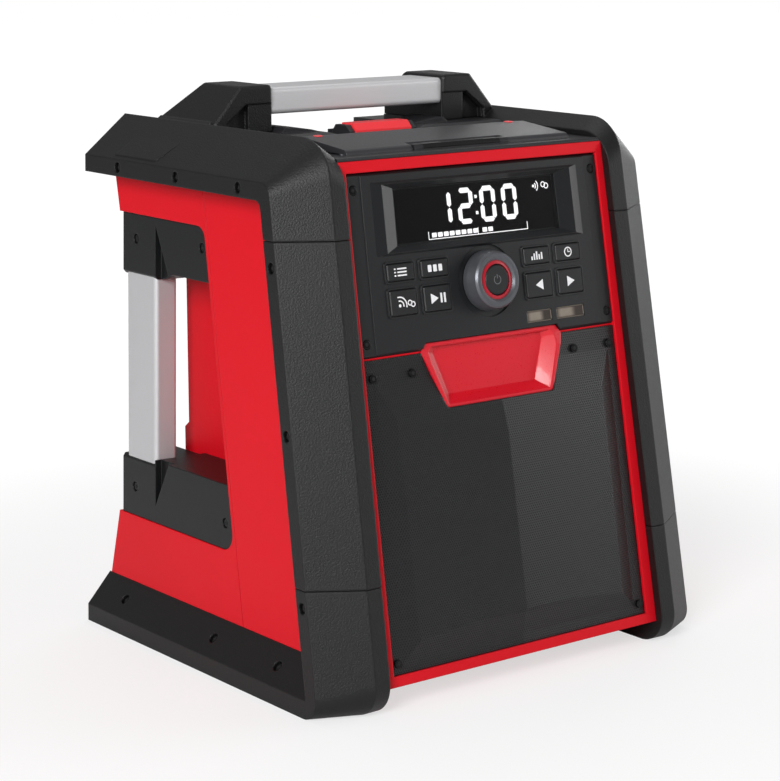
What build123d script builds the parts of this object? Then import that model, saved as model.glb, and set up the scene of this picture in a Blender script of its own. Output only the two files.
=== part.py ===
from build123d import *
import math
import os

# ------------------------------------------------------------------ driving dimensions (mm, degrees)
HALF_W = 160.0          # half of the width across the foot rails
REAR_Y = 145.0          # flat rear ends of the rails
LEAN = 10.01            # the whole front leans back
TAPER = 1.314           # each side leans in
BORDER_Y = -145.91      # reference plane of the front at floor height
RED_Y = -142.66         # red frame, set back behind the lips of the guards
PEAK_Y = -149.27        # crease of the guard at floor height
STRIP_Y = -128.43       # front edge of the outer guard strip at floor height
PANEL_Y = -117.30       # red side panel starts here at floor height
PARTING_Y = -27.0       # parting line of the two housing shells at floor height
WINDOW_Y = -24.0        # front edge of the grip window at floor height
CREASE_IN = 31.6        # inset of the guard crease from the outer side
INNER_IN = 43.0         # inset of the guard's inner edge
SIDE_IN = 18.0          # inset of the red side panel
STRIP_TOP = 327.3
RIDGE_TOP = 353.1
LIP_TOP = 344.0
SEAM_HIGH = 292.3
SEAM_LOW = 81.4
GUARD_WALL = 4.0
SHELL = 3.0             # housing wall
HOUSE_TOP = 338.1
HOUSE_BOTTOM = 16.4
CORE_X = 98.0           # side wall of the core behind the grip window
CORE_REAR = 106.4       # rear wall between the two grip windows
CORE_FOOT = 111.4       # its foot stands further back
WINDOW_LOW = 79.5
WINDOW_HIGH = 289.0
TUBE_W = 37.0           # flattened aluminium tube
TUBE_T = 17.6
TUBE_ROUND = 3.2
TUBE_WALL = 2.2
HANDLE_Z = 365.6        # centre height of the carry tube
HANDLE_Y = 59.0
LID_AXIS_Y = -66.0
LID_AXIS_Z = 339.5
LATCH_Y = 27.0
LATCH_Z = 343.6
PANEL_FACE = -4.0       # control panel face behind the border plane
PANEL_BACK = -9.0
KNOB_S = 261.0          # knob centre along the front
KNOB_R = 19.6
BUTTON_GAP = 0.35
SCREW_HEAD = 2.8

SLOPE = math.tan(math.radians(LEAN))
COS_L = math.cos(math.radians(LEAN))
SIN_L = math.sin(math.radians(LEAN))
COS_T = math.cos(math.radians(TAPER))
SIN_T = math.sin(math.radians(TAPER))
TAN_T = math.tan(math.radians(TAPER))

FRONT = Plane(origin=(0, BORDER_Y, 0), x_dir=(1, 0, 0), z_dir=(0, -COS_L, SIN_L))
PARTING = Plane(origin=(0, PARTING_Y, 0), x_dir=(1, 0, 0), z_dir=(0, -COS_L, SIN_L))
SEAM_GAP = 0.5          # open joint line between neighbouring mouldings


def side_plane(inset):
    """Plane parallel with the leaning +X side; local x runs to the rear, local y up."""
    return Plane(origin=(HALF_W - inset, 0, 0), x_dir=(0, 1, 0), z_dir=(COS_T, 0, SIN_T))


def outline(plane, points, rounds=()):
    """Closed outline on a plane, with some of its corners rounded."""
    with BuildSketch(plane) as sketch:
        with BuildLine():
            Polyline(*points, close=True)
        make_face()
        for corner, radius in rounds:
            fillet(sketch.vertices().sort_by_distance(corner)[0], radius)
    return sketch.sketch


def leaning(base, height):
    """Depth of a leaning line at a height."""
    return base + height * SLOPE


# ------------------------------------------------------------------ housing form
def wing_outline(inset, front, low, top, wall):
    """Side outline of the housing at one inset."""
    return outline(
        side_plane(inset),
        [
            (leaning(front, low), low),
            (142.8 - wall, low),
            (131.7 - wall, 78.8),
            (130.0 - wall, 289.9),
            (134.5 - wall, 309.8),
            (135.8 - wall, top),
            (leaning(front, top), top),
        ],
        [((leaning(front, top), top), 6.0)],
    )


def housing_wing(wall):
    """Right-hand flank of the housing between the side panel and the centre block."""
    low = HOUSE_BOTTOM + wall
    top = HOUSE_TOP - wall
    outer = wing_outline(SIDE_IN + wall, PANEL_Y + wall, 32.5 + wall, 315.9 - wall, wall)
    inner = wing_outline(INNER_IN + 6, RED_Y + 2 + wall, low, top, wall)
    loft(sections=[outer, inner], ruled=True)


def housing_centre(wall):
    """Centre block of the housing, between the guards."""
    low = HOUSE_BOTTOM + wall
    top = HOUSE_TOP - wall
    front = RED_Y + wall
    half = HALF_W - INNER_IN - wall
    side = outline(
        Plane.YZ.offset(-125),
        [
            (leaning(front, low), low),
            (142.8 - wall, low),
            (142.8 - wall, 34.7),
            (131.7 - wall, 78.8),
            (CORE_FOOT - wall, 95.0),
            (CORE_FOOT - wall, 137.0),
            (CORE_REAR - wall, 141.0),
            (CORE_REAR - wall, 262.0),
            (130.0 - wall, 289.9),
            (134.5 - wall, 309.8),
            (135.8 - wall, top),
            (leaning(front, top), top),
        ],
    )
    extrude(side, amount=250)
    across = outline(
        Plane.XZ.offset(-200),
        [(-half, 0), (half, 0), (half - 400 * TAN_T, 400), (-half + 400 * TAN_T, 400)],
    )
    extrude(across, amount=400, mode=Mode.INTERSECT)


def grip_window(grow, depth_x):
    """Window behind the side panel that takes the brackets and the grip tube."""
    front = WINDOW_Y - grow
    low = WINDOW_LOW - grow
    high = WINDOW_HIGH + grow
    rounds = [((leaning(front, low), low), 11.0), ((leaning(front, high), high), 9.0)]
    points = [(leaning(front, low), low), (160, low), (160, high), (leaning(front, high), high)]
    window = outline(side_plane(SIDE_IN), points, rounds)
    extrude(window, amount=20)
    extrude(window, amount=-80)
    inward = outline(Plane.YZ.offset(depth_x), [(-200, -50), (300, -50), (300, 450), (-200, 450)])
    extrude(inward, amount=-80, mode=Mode.SUBTRACT)


with BuildPart() as window_tool:
    grip_window(0.0, CORE_X)

with BuildPart() as window_tool_inner:
    grip_window(SHELL, CORE_X - SHELL)

with BuildPart() as flank:
    housing_wing(0.0)

with BuildPart() as flank_void:
    housing_wing(SHELL)

with BuildPart() as housing_hull:
    housing_centre(0.0)
    add(flank.part)
    mirror(flank.part, about=Plane.YZ)
    add(window_tool.part, mode=Mode.SUBTRACT)
    mirror(window_tool.part, about=Plane.YZ, mode=Mode.SUBTRACT)

with BuildPart() as housing_void:
    housing_centre(SHELL)
    add(flank_void.part)
    mirror(flank_void.part, about=Plane.YZ)
    add(window_tool_inner.part, mode=Mode.SUBTRACT)
    mirror(window_tool_inner.part, about=Plane.YZ, mode=Mode.SUBTRACT)

# ------------------------------------------------------------------ guard form
# inset, front line at floor height, top, toe radius, corner radius
GUARD_OUTER = [
    (0.0, STRIP_Y, STRIP_TOP, 13.0, 10.0),
    (CREASE_IN, PEAK_Y, RIDGE_TOP, 20.0, 28.0),
    (INNER_IN, PEAK_Y + 0.4, LIP_TOP, 20.0, 26.0),
]
GUARD_INNER = [
    (4.0, STRIP_Y + 2.2, 325.4, 10.0, 7.0),
    (32.3, PEAK_Y + 4.3, 348.5, 16.0, 24.0),
    (39.6, PEAK_Y + 4.5, 342.4, 16.0, 22.0),
]


def guard_form(levels, rear, bottom):
    """Body of one guard through its outer strip, its crease and its inner edge."""
    sections = []
    for inset, front, top, toe, corner in levels:
        toe_point = (leaning(front, bottom), bottom)
        corner_point = (leaning(front, top), top)
        points = [toe_point, (rear, bottom), (rear, top), corner_point]
        rounds = [(toe_point, toe), (corner_point, corner)]
        sections.append(outline(side_plane(inset), points, rounds))
    loft(sections=sections[:2], ruled=True)
    loft(sections=sections[1:], ruled=True)


def strip_window(front, top, levels):
    """Opening inside the outer strip, over the red side panel; its floor rises inwards."""
    sections = []
    for inset, low in levels:
        corner_point = (leaning(front, top), top)
        points = [(leaning(front, low), low), (160, low), (160, top), corner_point]
        sections.append(outline(side_plane(inset), points, [(corner_point, 6.0)]))
    loft(sections=sections, ruled=True)


with BuildPart() as backed_strip:
    strip_window(PANEL_Y - 4, 319.9, [(-1.0, 6.3), (22.0, 28.5)])

with BuildPart() as guard_pocket:
    guard_form(GUARD_INNER, REAR_Y - GUARD_WALL, GUARD_WALL)
    add(backed_strip.part, mode=Mode.SUBTRACT)

with BuildPart() as guard_core:
    core_sections = []
    for inset, front, low, top in (
        (SIDE_IN, PANEL_Y, 32.5, 315.9),
        (INNER_IN + 6, RED_Y + 2, HOUSE_BOTTOM, HOUSE_TOP),
    ):
        corner_point = (leaning(front, top), top)
        points = [(leaning(front, low), low), (160, low), (160, top), corner_point]
        core_sections.append(outline(side_plane(inset), points, [(corner_point, 6.0)]))
    loft(sections=core_sections, ruled=True)

with BuildPart() as guard_window:
    strip_window(PANEL_Y, 315.9, [(-1.0, 10.8), (SIDE_IN, 32.5)])

# screws of one guard: inset of the seat, depth, height
POST_SCREWS = [(276.0, 0.0), (174.6, 0.0), (70.0, 0.0)]
RAIL_SCREWS = [103.7, 33.2, -37.7]
FOOT_SCREWS = [109.6, -0.3, -73.0]
GUARD_SCREW_SPOTS = [(leaning(-123.0, z), z) for z, _ in POST_SCREWS] + [(y, 321.8) for y in RAIL_SCREWS]
FOOT_TILT = math.degrees(math.atan2(20.5, 17.9))
FOOT_SEAT = Plane(
    origin=(HALF_W - 9.0, 0, 21.9),
    x_dir=(0, 1, 0),
    z_dir=(math.sin(math.radians(FOOT_TILT)), 0, math.cos(math.radians(FOOT_TILT))),
)

with BuildPart() as guard_body:
    guard_form(GUARD_OUTER, REAR_Y, 0.0)
    add(guard_pocket.part, mode=Mode.SUBTRACT)
    # screw towers across the hollow
    with BuildSketch(side_plane(2.0)) as towers:
        with Locations(*GUARD_SCREW_SPOTS):
            Circle(5.5)
    extrude(towers.sketch, amount=-34)
    with BuildSketch(FOOT_SEAT.offset(-2.0)) as foot_towers:
        with Locations(*[(y, 0) for y in FOOT_SCREWS]):
            Circle(5.5)
    extrude(foot_towers.sketch, amount=-20)
    add(guard_core.part, mode=Mode.SUBTRACT)
    add(guard_window.part, mode=Mode.SUBTRACT)
    # screw seats and shank holes
    with BuildSketch(side_plane(0)) as seats:
        with Locations(*GUARD_SCREW_SPOTS):
            Circle(3.6)
    extrude(seats.sketch, amount=-3.4, mode=Mode.SUBTRACT)
    with BuildSketch(side_plane(0)) as shanks:
        with Locations(*GUARD_SCREW_SPOTS):
            Circle(1.75)
    extrude(shanks.sketch, amount=-36, mode=Mode.SUBTRACT)
    with BuildSketch(FOOT_SEAT.offset(2.0)) as foot_seats:
        with Locations(*[(y, 0) for y in FOOT_SCREWS]):
            Circle(3.6)
    extrude(foot_seats.sketch, amount=-5.4, mode=Mode.SUBTRACT)
    with BuildSketch(FOOT_SEAT) as foot_shanks:
        with Locations(*[(y, 0) for y in FOOT_SCREWS]):
            Circle(1.75)
    extrude(foot_shanks.sketch, amount=-18, mode=Mode.SUBTRACT)

# ------------------------------------------------------------------ guards
def tube_outline(plane, grow):
    """Flattened tube section."""
    with BuildSketch(plane) as section:
        RectangleRounded(TUBE_W + 2 * grow, TUBE_T + 2 * grow, TUBE_ROUND + grow)
    return section.sketch


CARRY_PLANE = Plane(origin=(0, HANDLE_Y, HANDLE_Z), x_dir=(0, 1, 0), z_dir=(1, 0, 0))

with BuildPart() as riser:
    riser_face = outline(
        Plane.XZ.offset(-38),
        [(72.2, 345.3), (72.2, 376.6), (97.3, 376.6), (118.2, 353.0), (118.2, 345.3)],
        [((72.2, 376.6), 3.0), ((97.3, 376.6), 3.0)],
    )
    extrude(riser_face, amount=-66.3)
    rear_cut = outline(
        Plane.YZ.offset(60),
        [(104.4, 352.9), (81.0, 376.7), (81.0, 380), (110, 380), (110, 352.9)],
    )
    extrude(rear_cut, amount=70, mode=Mode.SUBTRACT)
    chamfer(riser.faces().sort_by(Axis.Y)[0].edges().filter_by(lambda e: e.center().Z > 348), 1.6)
    # set-back field in the front face, deeper where the tube doesn't run behind it
    front_field = [(72.0, 340.0), (110.0, 340.0), (110.0, 352.0), (93.6, 364.6), (72.0, 364.6)]
    extrude(outline(Plane.XZ.offset(-38), front_field), amount=-1.2, mode=Mode.SUBTRACT)
    socket_web = [(91.0, 340.0), (109.0, 340.0), (107.6, 352.0), (93.6, 363.6), (91.0, 363.6)]
    extrude(outline(Plane.XZ.offset(-38), socket_web), amount=-5, mode=Mode.SUBTRACT)
    # the outer flank runs on as a thin raised pad down to the strip
    pad_high = outline(
        side_plane(CREASE_IN + 3.0),
        [(43.0, 349.6), (43.0, 354.6), (104.3, 354.6), (104.3, 349.6)],
    )
    pad_low = outline(
        side_plane(2.2),
        [(60.0, 326.2), (60.0, 329.9), (110.0, 329.9), (110.0, 326.2)],
    )
    loft(sections=[pad_high, pad_low], ruled=True)
    extrude(tube_outline(CARRY_PLANE, 0.0), amount=86.2, mode=Mode.SUBTRACT)

with BuildPart() as right_top_guard:
    add(guard_body.part)
    split(bisect_by=Plane.XY.offset(SEAM_HIGH + SEAM_GAP / 2), keep=Keep.TOP)
    add(riser.part)

with BuildPart() as right_front_guard:
    add(guard_body.part)
    split(bisect_by=Plane.XY.offset(SEAM_HIGH - SEAM_GAP / 2), keep=Keep.BOTTOM)
    split(bisect_by=Plane.XY.offset(SEAM_LOW + SEAM_GAP / 2), keep=Keep.TOP)

with BuildPart() as right_bottom_guard:
    add(guard_body.part)
    split(bisect_by=Plane.XY.offset(SEAM_LOW - SEAM_GAP / 2), keep=Keep.BOTTOM)

with BuildPart() as left_top_guard:
    mirror(right_top_guard.part, about=Plane.YZ)

with BuildPart() as left_front_guard:
    mirror(right_front_guard.part, about=Plane.YZ)

with BuildPart() as left_bottom_guard:
    mirror(right_bottom_guard.part, about=Plane.YZ)

# ------------------------------------------------------------------ carry tube
with BuildPart() as carry_handle_tube:
    extrude(tube_outline(CARRY_PLANE.offset(-86), 0.0), amount=172)
    extrude(tube_outline(CARRY_PLANE.offset(-86), -TUBE_WALL), amount=172, mode=Mode.SUBTRACT)

# ------------------------------------------------------------------ side brackets and grip tubes
GRIP_Y = 105.6
GRIP_IN = 28.25
GRIP_FROM = 103.0
GRIP_TO = 268.0
BRACKET_IN = SIDE_IN + 0.4
UPPER_SCREWS = [(109.5, 272.1), (29.5, 275.0)]
LOWER_SCREWS = [(111.6, 100.1), (1.0, 97.5)]


def grip_plane(height):
    """Plane across the grip tube at a height along the leaning side."""
    return Plane(
        origin=(HALF_W - GRIP_IN - height * SIN_T, GRIP_Y, height * COS_T),
        x_dir=(0, 1, 0),
        z_dir=(-SIN_T, 0, COS_T),
    )


def bracket(points, rounds, pocket, web, screws):
    """Moulded bracket between the side panel plane and the core wall."""
    face = outline(side_plane(BRACKET_IN), points, rounds)
    extrude(face, amount=-60)
    rear_edge = face.edges().sort_by(Axis.Y)[-1]
    chamfer(rear_edge, 2.2)
    extrude(outline(side_plane(BRACKET_IN + 3.2), pocket), amount=-60, mode=Mode.SUBTRACT)
    extrude(outline(side_plane(BRACKET_IN), web), amount=-5.0, mode=Mode.SUBTRACT)
    with BuildSketch(side_plane(BRACKET_IN + 1.8)) as posts:
        with Locations(*screws):
            Circle(4.6)
    extrude(posts.sketch, amount=-30)
    with BuildSketch(side_plane(BRACKET_IN)) as heads:
        with Locations(*screws):
            Circle(3.4)
    extrude(heads.sketch, amount=-2.4, mode=Mode.SUBTRACT)
    with BuildSketch(side_plane(BRACKET_IN)) as shanks:
        with Locations(*screws):
            Circle(1.65)
    extrude(shanks.sketch, amount=-24, mode=Mode.SUBTRACT)
    inner = outline(Plane.YZ.offset(CORE_X), [(-40, 60), (160, 60), (160, 300), (-40, 300)])
    extrude(inner, amount=-60, mode=Mode.SUBTRACT)


with BuildPart() as right_upper_bracket:
    top_corner = (leaning(WINDOW_Y + 0.3, 288.7), 288.7)
    bracket(
        [
            (leaning(WINDOW_Y + 0.3, 253.0), 253.0),
            (64.0, 253.0),
            (84.0, 247.0),
            (128.5, 247.0),
            (128.2, 288.7),
            top_corner,
        ],
        [(top_corner, 8.8), ((128.5, 247.0), 2.5)],
        [(36.0, 256.2), (62.0, 256.2), (64.0, 285.4), (38.5, 285.4)],
        [(86.0, 284.5), (86.0, 244.0), (66.0, 244.0)],
        UPPER_SCREWS,
    )
    extrude(tube_outline(grip_plane(240.0), 0.0), amount=GRIP_TO - 240.0, mode=Mode.SUBTRACT)

with BuildPart() as right_lower_bracket:
    low_corner = (leaning(WINDOW_Y + 0.3, 79.8), 79.8)
    bracket(
        [
            low_corner,
            (129.8, 79.8),
            (129.5, 121.3),
            (86.5, 121.3),
            (86.5, 123.3),
            (leaning(WINDOW_Y + 0.3, 123.3), 123.3),
        ],
        [(low_corner, 10.8), ((129.5, 121.3), 2.5)],
        [(9.0, 83.2), (62.0, 83.2), (62.0, 120.0), (12.0, 120.0)],
        [(86.0, 91.0), (86.0, 126.0), (68.0, 126.0)],
        LOWER_SCREWS,
    )
    extrude(tube_outline(grip_plane(GRIP_FROM), 0.0), amount=30, mode=Mode.SUBTRACT)

with BuildPart() as left_upper_bracket:
    mirror(right_upper_bracket.part, about=Plane.YZ)

with BuildPart() as left_lower_bracket:
    mirror(right_lower_bracket.part, about=Plane.YZ)

with BuildPart() as right_guard_tube:
    extrude(tube_outline(grip_plane(GRIP_FROM), 0.0), amount=GRIP_TO - GRIP_FROM)
    extrude(tube_outline(grip_plane(GRIP_FROM), -TUBE_WALL), amount=165, mode=Mode.SUBTRACT)

with BuildPart() as left_guard_tube:
    mirror(right_guard_tube.part, about=Plane.YZ)

# ------------------------------------------------------------------ front recess
RECESS_LOW = 24.0
RECESS_HIGH = 336.7
JOIN_S = 221.5          # joint between control panel and grille
JOIN_GAP = 0.7


def recess_half(s):
    """Half width of the framed front opening at a distance up the front."""
    return 108.5 - (s - RECESS_LOW) * 4.6 / (RECESS_HIGH - RECESS_LOW)


def front_trapezoid(level, low, high, grow):
    """Trapezoid following the framed opening, on a plane parallel with the front."""
    return outline(
        FRONT.offset(level),
        [
            (-recess_half(low) - grow, low),
            (recess_half(low) + grow, low),
            (recess_half(high) + grow, high),
            (-recess_half(high) - grow, high),
        ],
    )


def dish_shape(level, grow):
    """Outline of the dish under the control panel, rounded at its foot."""
    foot = [(-44.6 - grow, 184.4 - grow), (44.6 + grow, 184.4 - grow)]
    head = [(59.2 + grow, 221.0), (55.0 + grow, 226.6 + grow)]
    points = foot + head + [(-x, s) for x, s in reversed(head)]
    return outline(FRONT.offset(level), points, [(foot[0], 3.0), (foot[1], 3.0)])


def depth_plane(x):
    """Section plane of the front at one x; local x runs up the front, local y outwards."""
    return Plane(origin=(x, BORDER_Y, 0), x_dir=(0, SIN_L, COS_L), z_dir=(1, 0, 0))


# ------------------------------------------------------------------ housing shells
REAR_LOW = Plane(origin=(0, 137.25, 56.75), x_dir=(-1, 0, 0), z_dir=(0, 44.1, 11.1))
DOCK_LOW = 148.0
DOCK_HIGH = 252.0
DOCK_HALF = 46.0

with BuildPart() as guard_shanks:
    with BuildSketch(side_plane(0).offset(-3.0)) as shank_spots:
        with Locations(*GUARD_SCREW_SPOTS):
            Circle(1.75)
    extrude(shank_spots.sketch, amount=-33)

with BuildPart() as housing_shell:
    add(housing_hull.part)
    add(housing_void.part, mode=Mode.SUBTRACT)
    # collar and ledge behind the front opening
    extrude(front_trapezoid(-12.5, RECESS_LOW - 2.8, RECESS_HIGH + 1.8, 2.8), amount=8.5)
    extrude(front_trapezoid(-13.0, RECESS_LOW + 5, RECESS_HIGH - 6.6, -5), amount=20, mode=Mode.SUBTRACT)
    extrude(front_trapezoid(PANEL_BACK, RECESS_LOW, RECESS_HIGH, 0), amount=20, mode=Mode.SUBTRACT)
    # crossbar that shows as a line between control panel and grille
    extrude(front_trapezoid(PANEL_BACK - 2, JOIN_S - 0.6, JOIN_S + 0.6, 1), amount=5.2)
    extrude(dish_shape(-16, 0.4), amount=20, mode=Mode.SUBTRACT)
    # opening under the lid
    with BuildSketch(Plane.XY.offset(325)) as well_opening:
        with Locations((0, -30.5)):
            Rectangle(192, 86)
    extrude(well_opening.sketch, amount=30, mode=Mode.SUBTRACT)
    # battery dock opening and vents in the rear wall
    with BuildSketch(Plane.XZ.offset(-90)) as dock_opening:
        with Locations((0, (DOCK_LOW + DOCK_HIGH) / 2)):
            Rectangle(2 * DOCK_HALF, DOCK_HIGH - DOCK_LOW)
    extrude(dock_opening.sketch, amount=-30, mode=Mode.SUBTRACT)
    with BuildSketch(Plane.XZ.offset(-90)) as vents:
        with Locations((0, 200)):
            with GridLocations(143, 11, 2, 9):
                Rectangle(24, 4)
    extrude(vents.sketch, amount=-30, mode=Mode.SUBTRACT)
    # mains inlet opening
    with BuildSketch(REAR_LOW.offset(5)) as inlet_opening:
        with Locations((60, 0)):
            Rectangle(28, 22)
    extrude(inlet_opening.sketch, amount=-20, mode=Mode.SUBTRACT)
    # pilot holes of the guard screws
    add(guard_shanks.part, mode=Mode.SUBTRACT)
    mirror(guard_shanks.part, about=Plane.YZ, mode=Mode.SUBTRACT)

with BuildPart() as front_housing:
    add(housing_shell.part)
    split(bisect_by=PARTING.offset(SEAM_GAP / 2), keep=Keep.TOP)

with BuildPart() as rear_housing:
    add(housing_shell.part)
    split(bisect_by=PARTING.offset(-SEAM_GAP / 2), keep=Keep.BOTTOM)

# ------------------------------------------------------------------ top deck
WELL_FLOOR = 300.0
LID_HALF = 92.5
NOTCH_HALF = 39.2


def bar(profile, x_from, x_to, mode=Mode.ADD):
    """Straight bar along X with a side profile."""
    extrude(outline(Plane.YZ.offset(x_from), profile), amount=x_to - x_from, mode=mode)


def rod(y, z, radius, x_from, x_to, mode=Mode.ADD):
    """Round bar or bore along X."""
    with BuildSketch(Plane.YZ.offset(x_from)) as section:
        with Locations((y, z)):
            Circle(radius)
    extrude(section.sketch, amount=x_to - x_from, mode=mode)


def block(x_from, x_to, y_from, y_to, z_from, z_to, mode=Mode.ADD):
    """Rectangular block between limits."""
    with Locations(((x_from + x_to) / 2, (y_from + y_to) / 2, (z_from + z_to) / 2)):
        Box(x_to - x_from, y_to - y_from, z_to - z_from, mode=mode)


with BuildPart() as top_deck:
    deck_side = [(-82.4, 338.2), (-82.4, 339.0), (-80.9, 340.2), (11.0, 340.2), (19.0, 345.0)]
    bar(deck_side + [(141.0, 345.0), (141.0, 338.2)], -108.6, 108.6)
    block(-95, 95, -73.3, -58.3, 333.0, 340.2)
    block(-86.3, 86.3, -60.5, 2.6, WELL_FLOOR, 339.0)
    block(-84, 84, -58.3, 0.3, WELL_FLOOR + 2.2, 342, mode=Mode.SUBTRACT)
    # shoulders and hand dish under the carry tube
    for side in (1, -1):
        shoulder = outline(
            Plane.XZ.offset(-31),
            [(side * 27.6, 344.8), (side * 30, 348.5), (side * 66, 348.5), (side * 71.5, 344.8)],
        )
        extrude(shoulder, amount=-66)
    with BuildSketch(Plane.XZ.offset(-36)) as dish:
        with Locations((0, 392.4)):
            Circle(52)
    extrude(dish.sketch, amount=-66, mode=Mode.SUBTRACT)
    # lid trough and knuckle
    rod(LID_AXIS_Y, LID_AXIS_Z, 4.75, -93.2, 93.2, Mode.SUBTRACT)
    knuckle = [
        (-71.1, 334.0),
        (-71.1, 341.8),
        (-69.6, 343.8),
        (-64.5, 343.8),
        (-61.0, 340.6),
        (-61.0, 334.0),
    ]
    bar(knuckle, -NOTCH_HALF, NOTCH_HALF)
    rod(LID_AXIS_Y, LID_AXIS_Z, 1.52, -94.5, 94.5, Mode.SUBTRACT)
    # latch pocket and cheeks
    block(-24, 24, 10.8, 38, 340.4, 360, mode=Mode.SUBTRACT)
    cheek = [(12.0, 339.5), (12.0, 345.0), (17.0, 349.0), (28.0, 349.0), (31.5, 345.0), (31.5, 339.5)]
    bar(cheek, 24.2, 28.2)
    bar(cheek, -28.2, -24.2)
    rod(LATCH_Y, LATCH_Z, 1.52, -27.4, 27.4, Mode.SUBTRACT)
    # socket openings in the well's rear wall
    block(18, 34, 0, 3, 309, 318, mode=Mode.SUBTRACT)
    with BuildSketch(Plane.XZ.offset(-3)) as jack_hole:
        with Locations((50, 313.5)):
            Circle(4.2)
    extrude(jack_hole.sketch, amount=4, mode=Mode.SUBTRACT)

with BuildPart() as compartment_lid:
    lid_side = [
        (-66.0, 340.75),
        (-66.0, 343.7),
        (-58.0, 344.6),
        (-23.0, 348.2),
        (9.2, 344.5),
        (9.2, 340.75),
    ]
    bar(lid_side, -LID_HALF, LID_HALF)
    bar([(-55, 339), (-55, 342.3), (-23, 345.6), (6.4, 342.2), (6.4, 339)], -83, 83, Mode.SUBTRACT)
    rod(LID_AXIS_Y, LID_AXIS_Z, 4.2, -LID_HALF, LID_HALF)
    block(-NOTCH_HALF - 0.5, NOTCH_HALF + 0.5, -75, -60.3, 330, 360, mode=Mode.SUBTRACT)
    rod(LID_AXIS_Y, LID_AXIS_Z, 1.55, -95, 95, Mode.SUBTRACT)

with BuildPart() as lid_hinge_pin:
    rod(LID_AXIS_Y, LID_AXIS_Z, 1.5, -94.3, 94.3)

with BuildPart() as latch_lever:
    lever_side = [
        (11.4, 341.0),
        (11.4, 345.6),
        (15.8, 350.0),
        (27.0, 350.0),
        (29.6, 344.2),
        (29.6, 343.6),
        (27.0, 341.0),
    ]
    bar(lever_side, -23.4, 23.4)
    rod(LATCH_Y, LATCH_Z, 2.6, -23.4, 23.4)
    bar([(10, 346.5), (17.5, 351), (10, 351)], -15, 15, Mode.SUBTRACT)
    rod(LATCH_Y, LATCH_Z, 1.55, -24, 24, Mode.SUBTRACT)

with BuildPart() as latch_pin:
    rod(LATCH_Y, LATCH_Z, 1.5, -27.2, 27.2)

with BuildPart() as usb_socket:
    block(18.1, 33.9, 0.6, 14, 309.1, 317.9)
    block(20, 32, 0, 10, 311.6, 315.4, mode=Mode.SUBTRACT)

with BuildPart() as audio_jack:
    with BuildSketch(Plane.XZ.offset(-0.5)) as jack_face:
        with Locations((50, 313.5)):
            Circle(4.15)
            Circle(1.8, mode=Mode.SUBTRACT)
    extrude(jack_face.sketch, amount=-12)

# ------------------------------------------------------------------ control panel
RIDGE_N = -2.4          # crest of the frame round the display
WINDOW_N = -6.0
BEZEL_FOOT = [(-86.6, 283.6), (86.6, 283.6), (86.0, 330.0), (-86.0, 330.0)]
BEZEL_RIDGE = [(-78.8, 285.2), (78.8, 285.2), (78.2, 328.2), (-78.2, 328.2)]
WINDOW = [(-68.0, 289.2), (68.0, 289.2), (67.2, 325.4), (-67.2, 325.4)]
WINDOW_GLASS = [(-67.9, 289.3), (67.9, 289.3), (67.1, 325.3), (-67.1, 325.3)]
MODULE = [(-66.4, 290.4), (66.4, 290.4), (65.7, 324.2), (-65.7, 324.2)]
BUTTONS = {
    "button_mode": (-70.0, 273.1, 21.0, 10.8),
    "button_preset": (-42.7, 273.1, 21.5, 10.8),
    "button_wireless": (-70.0, 254.0, 21.0, 16.0),
    "button_play": (-42.7, 254.0, 21.5, 16.0),
    "button_tone": (42.7, 273.1, 21.5, 10.8),
    "button_clock": (70.0, 273.1, 21.0, 10.8),
    "button_back": (42.7, 254.0, 21.5, 16.0),
    "button_forward": (70.0, 254.0, 21.0, 16.0),
}
PANEL_SCREWS = [(-99.0, 326.2), (99.0, 326.2), (-101.0, 231.0), (101.0, 231.0)]
INDICATORS = {"indicator_left": (41.2, 21.6), "indicator_right": (68.3, 24.5)}
INDICATOR_S = 233.8


def front_rect(level, x, s, width, height, radius):
    """Rounded rectangle on a plane parallel with the front."""
    with BuildSketch(FRONT.offset(level)) as shape:
        with Locations((x, s)):
            RectangleRounded(width, height, radius)
    return shape.sketch


def front_ring(level, x, s, outer, inner=0.0):
    """Disc or ring on a plane parallel with the front."""
    with BuildSketch(FRONT.offset(level)) as shape:
        with Locations((x, s)):
            Circle(outer)
            if inner:
                Circle(inner, mode=Mode.SUBTRACT)
    return shape.sketch


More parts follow.
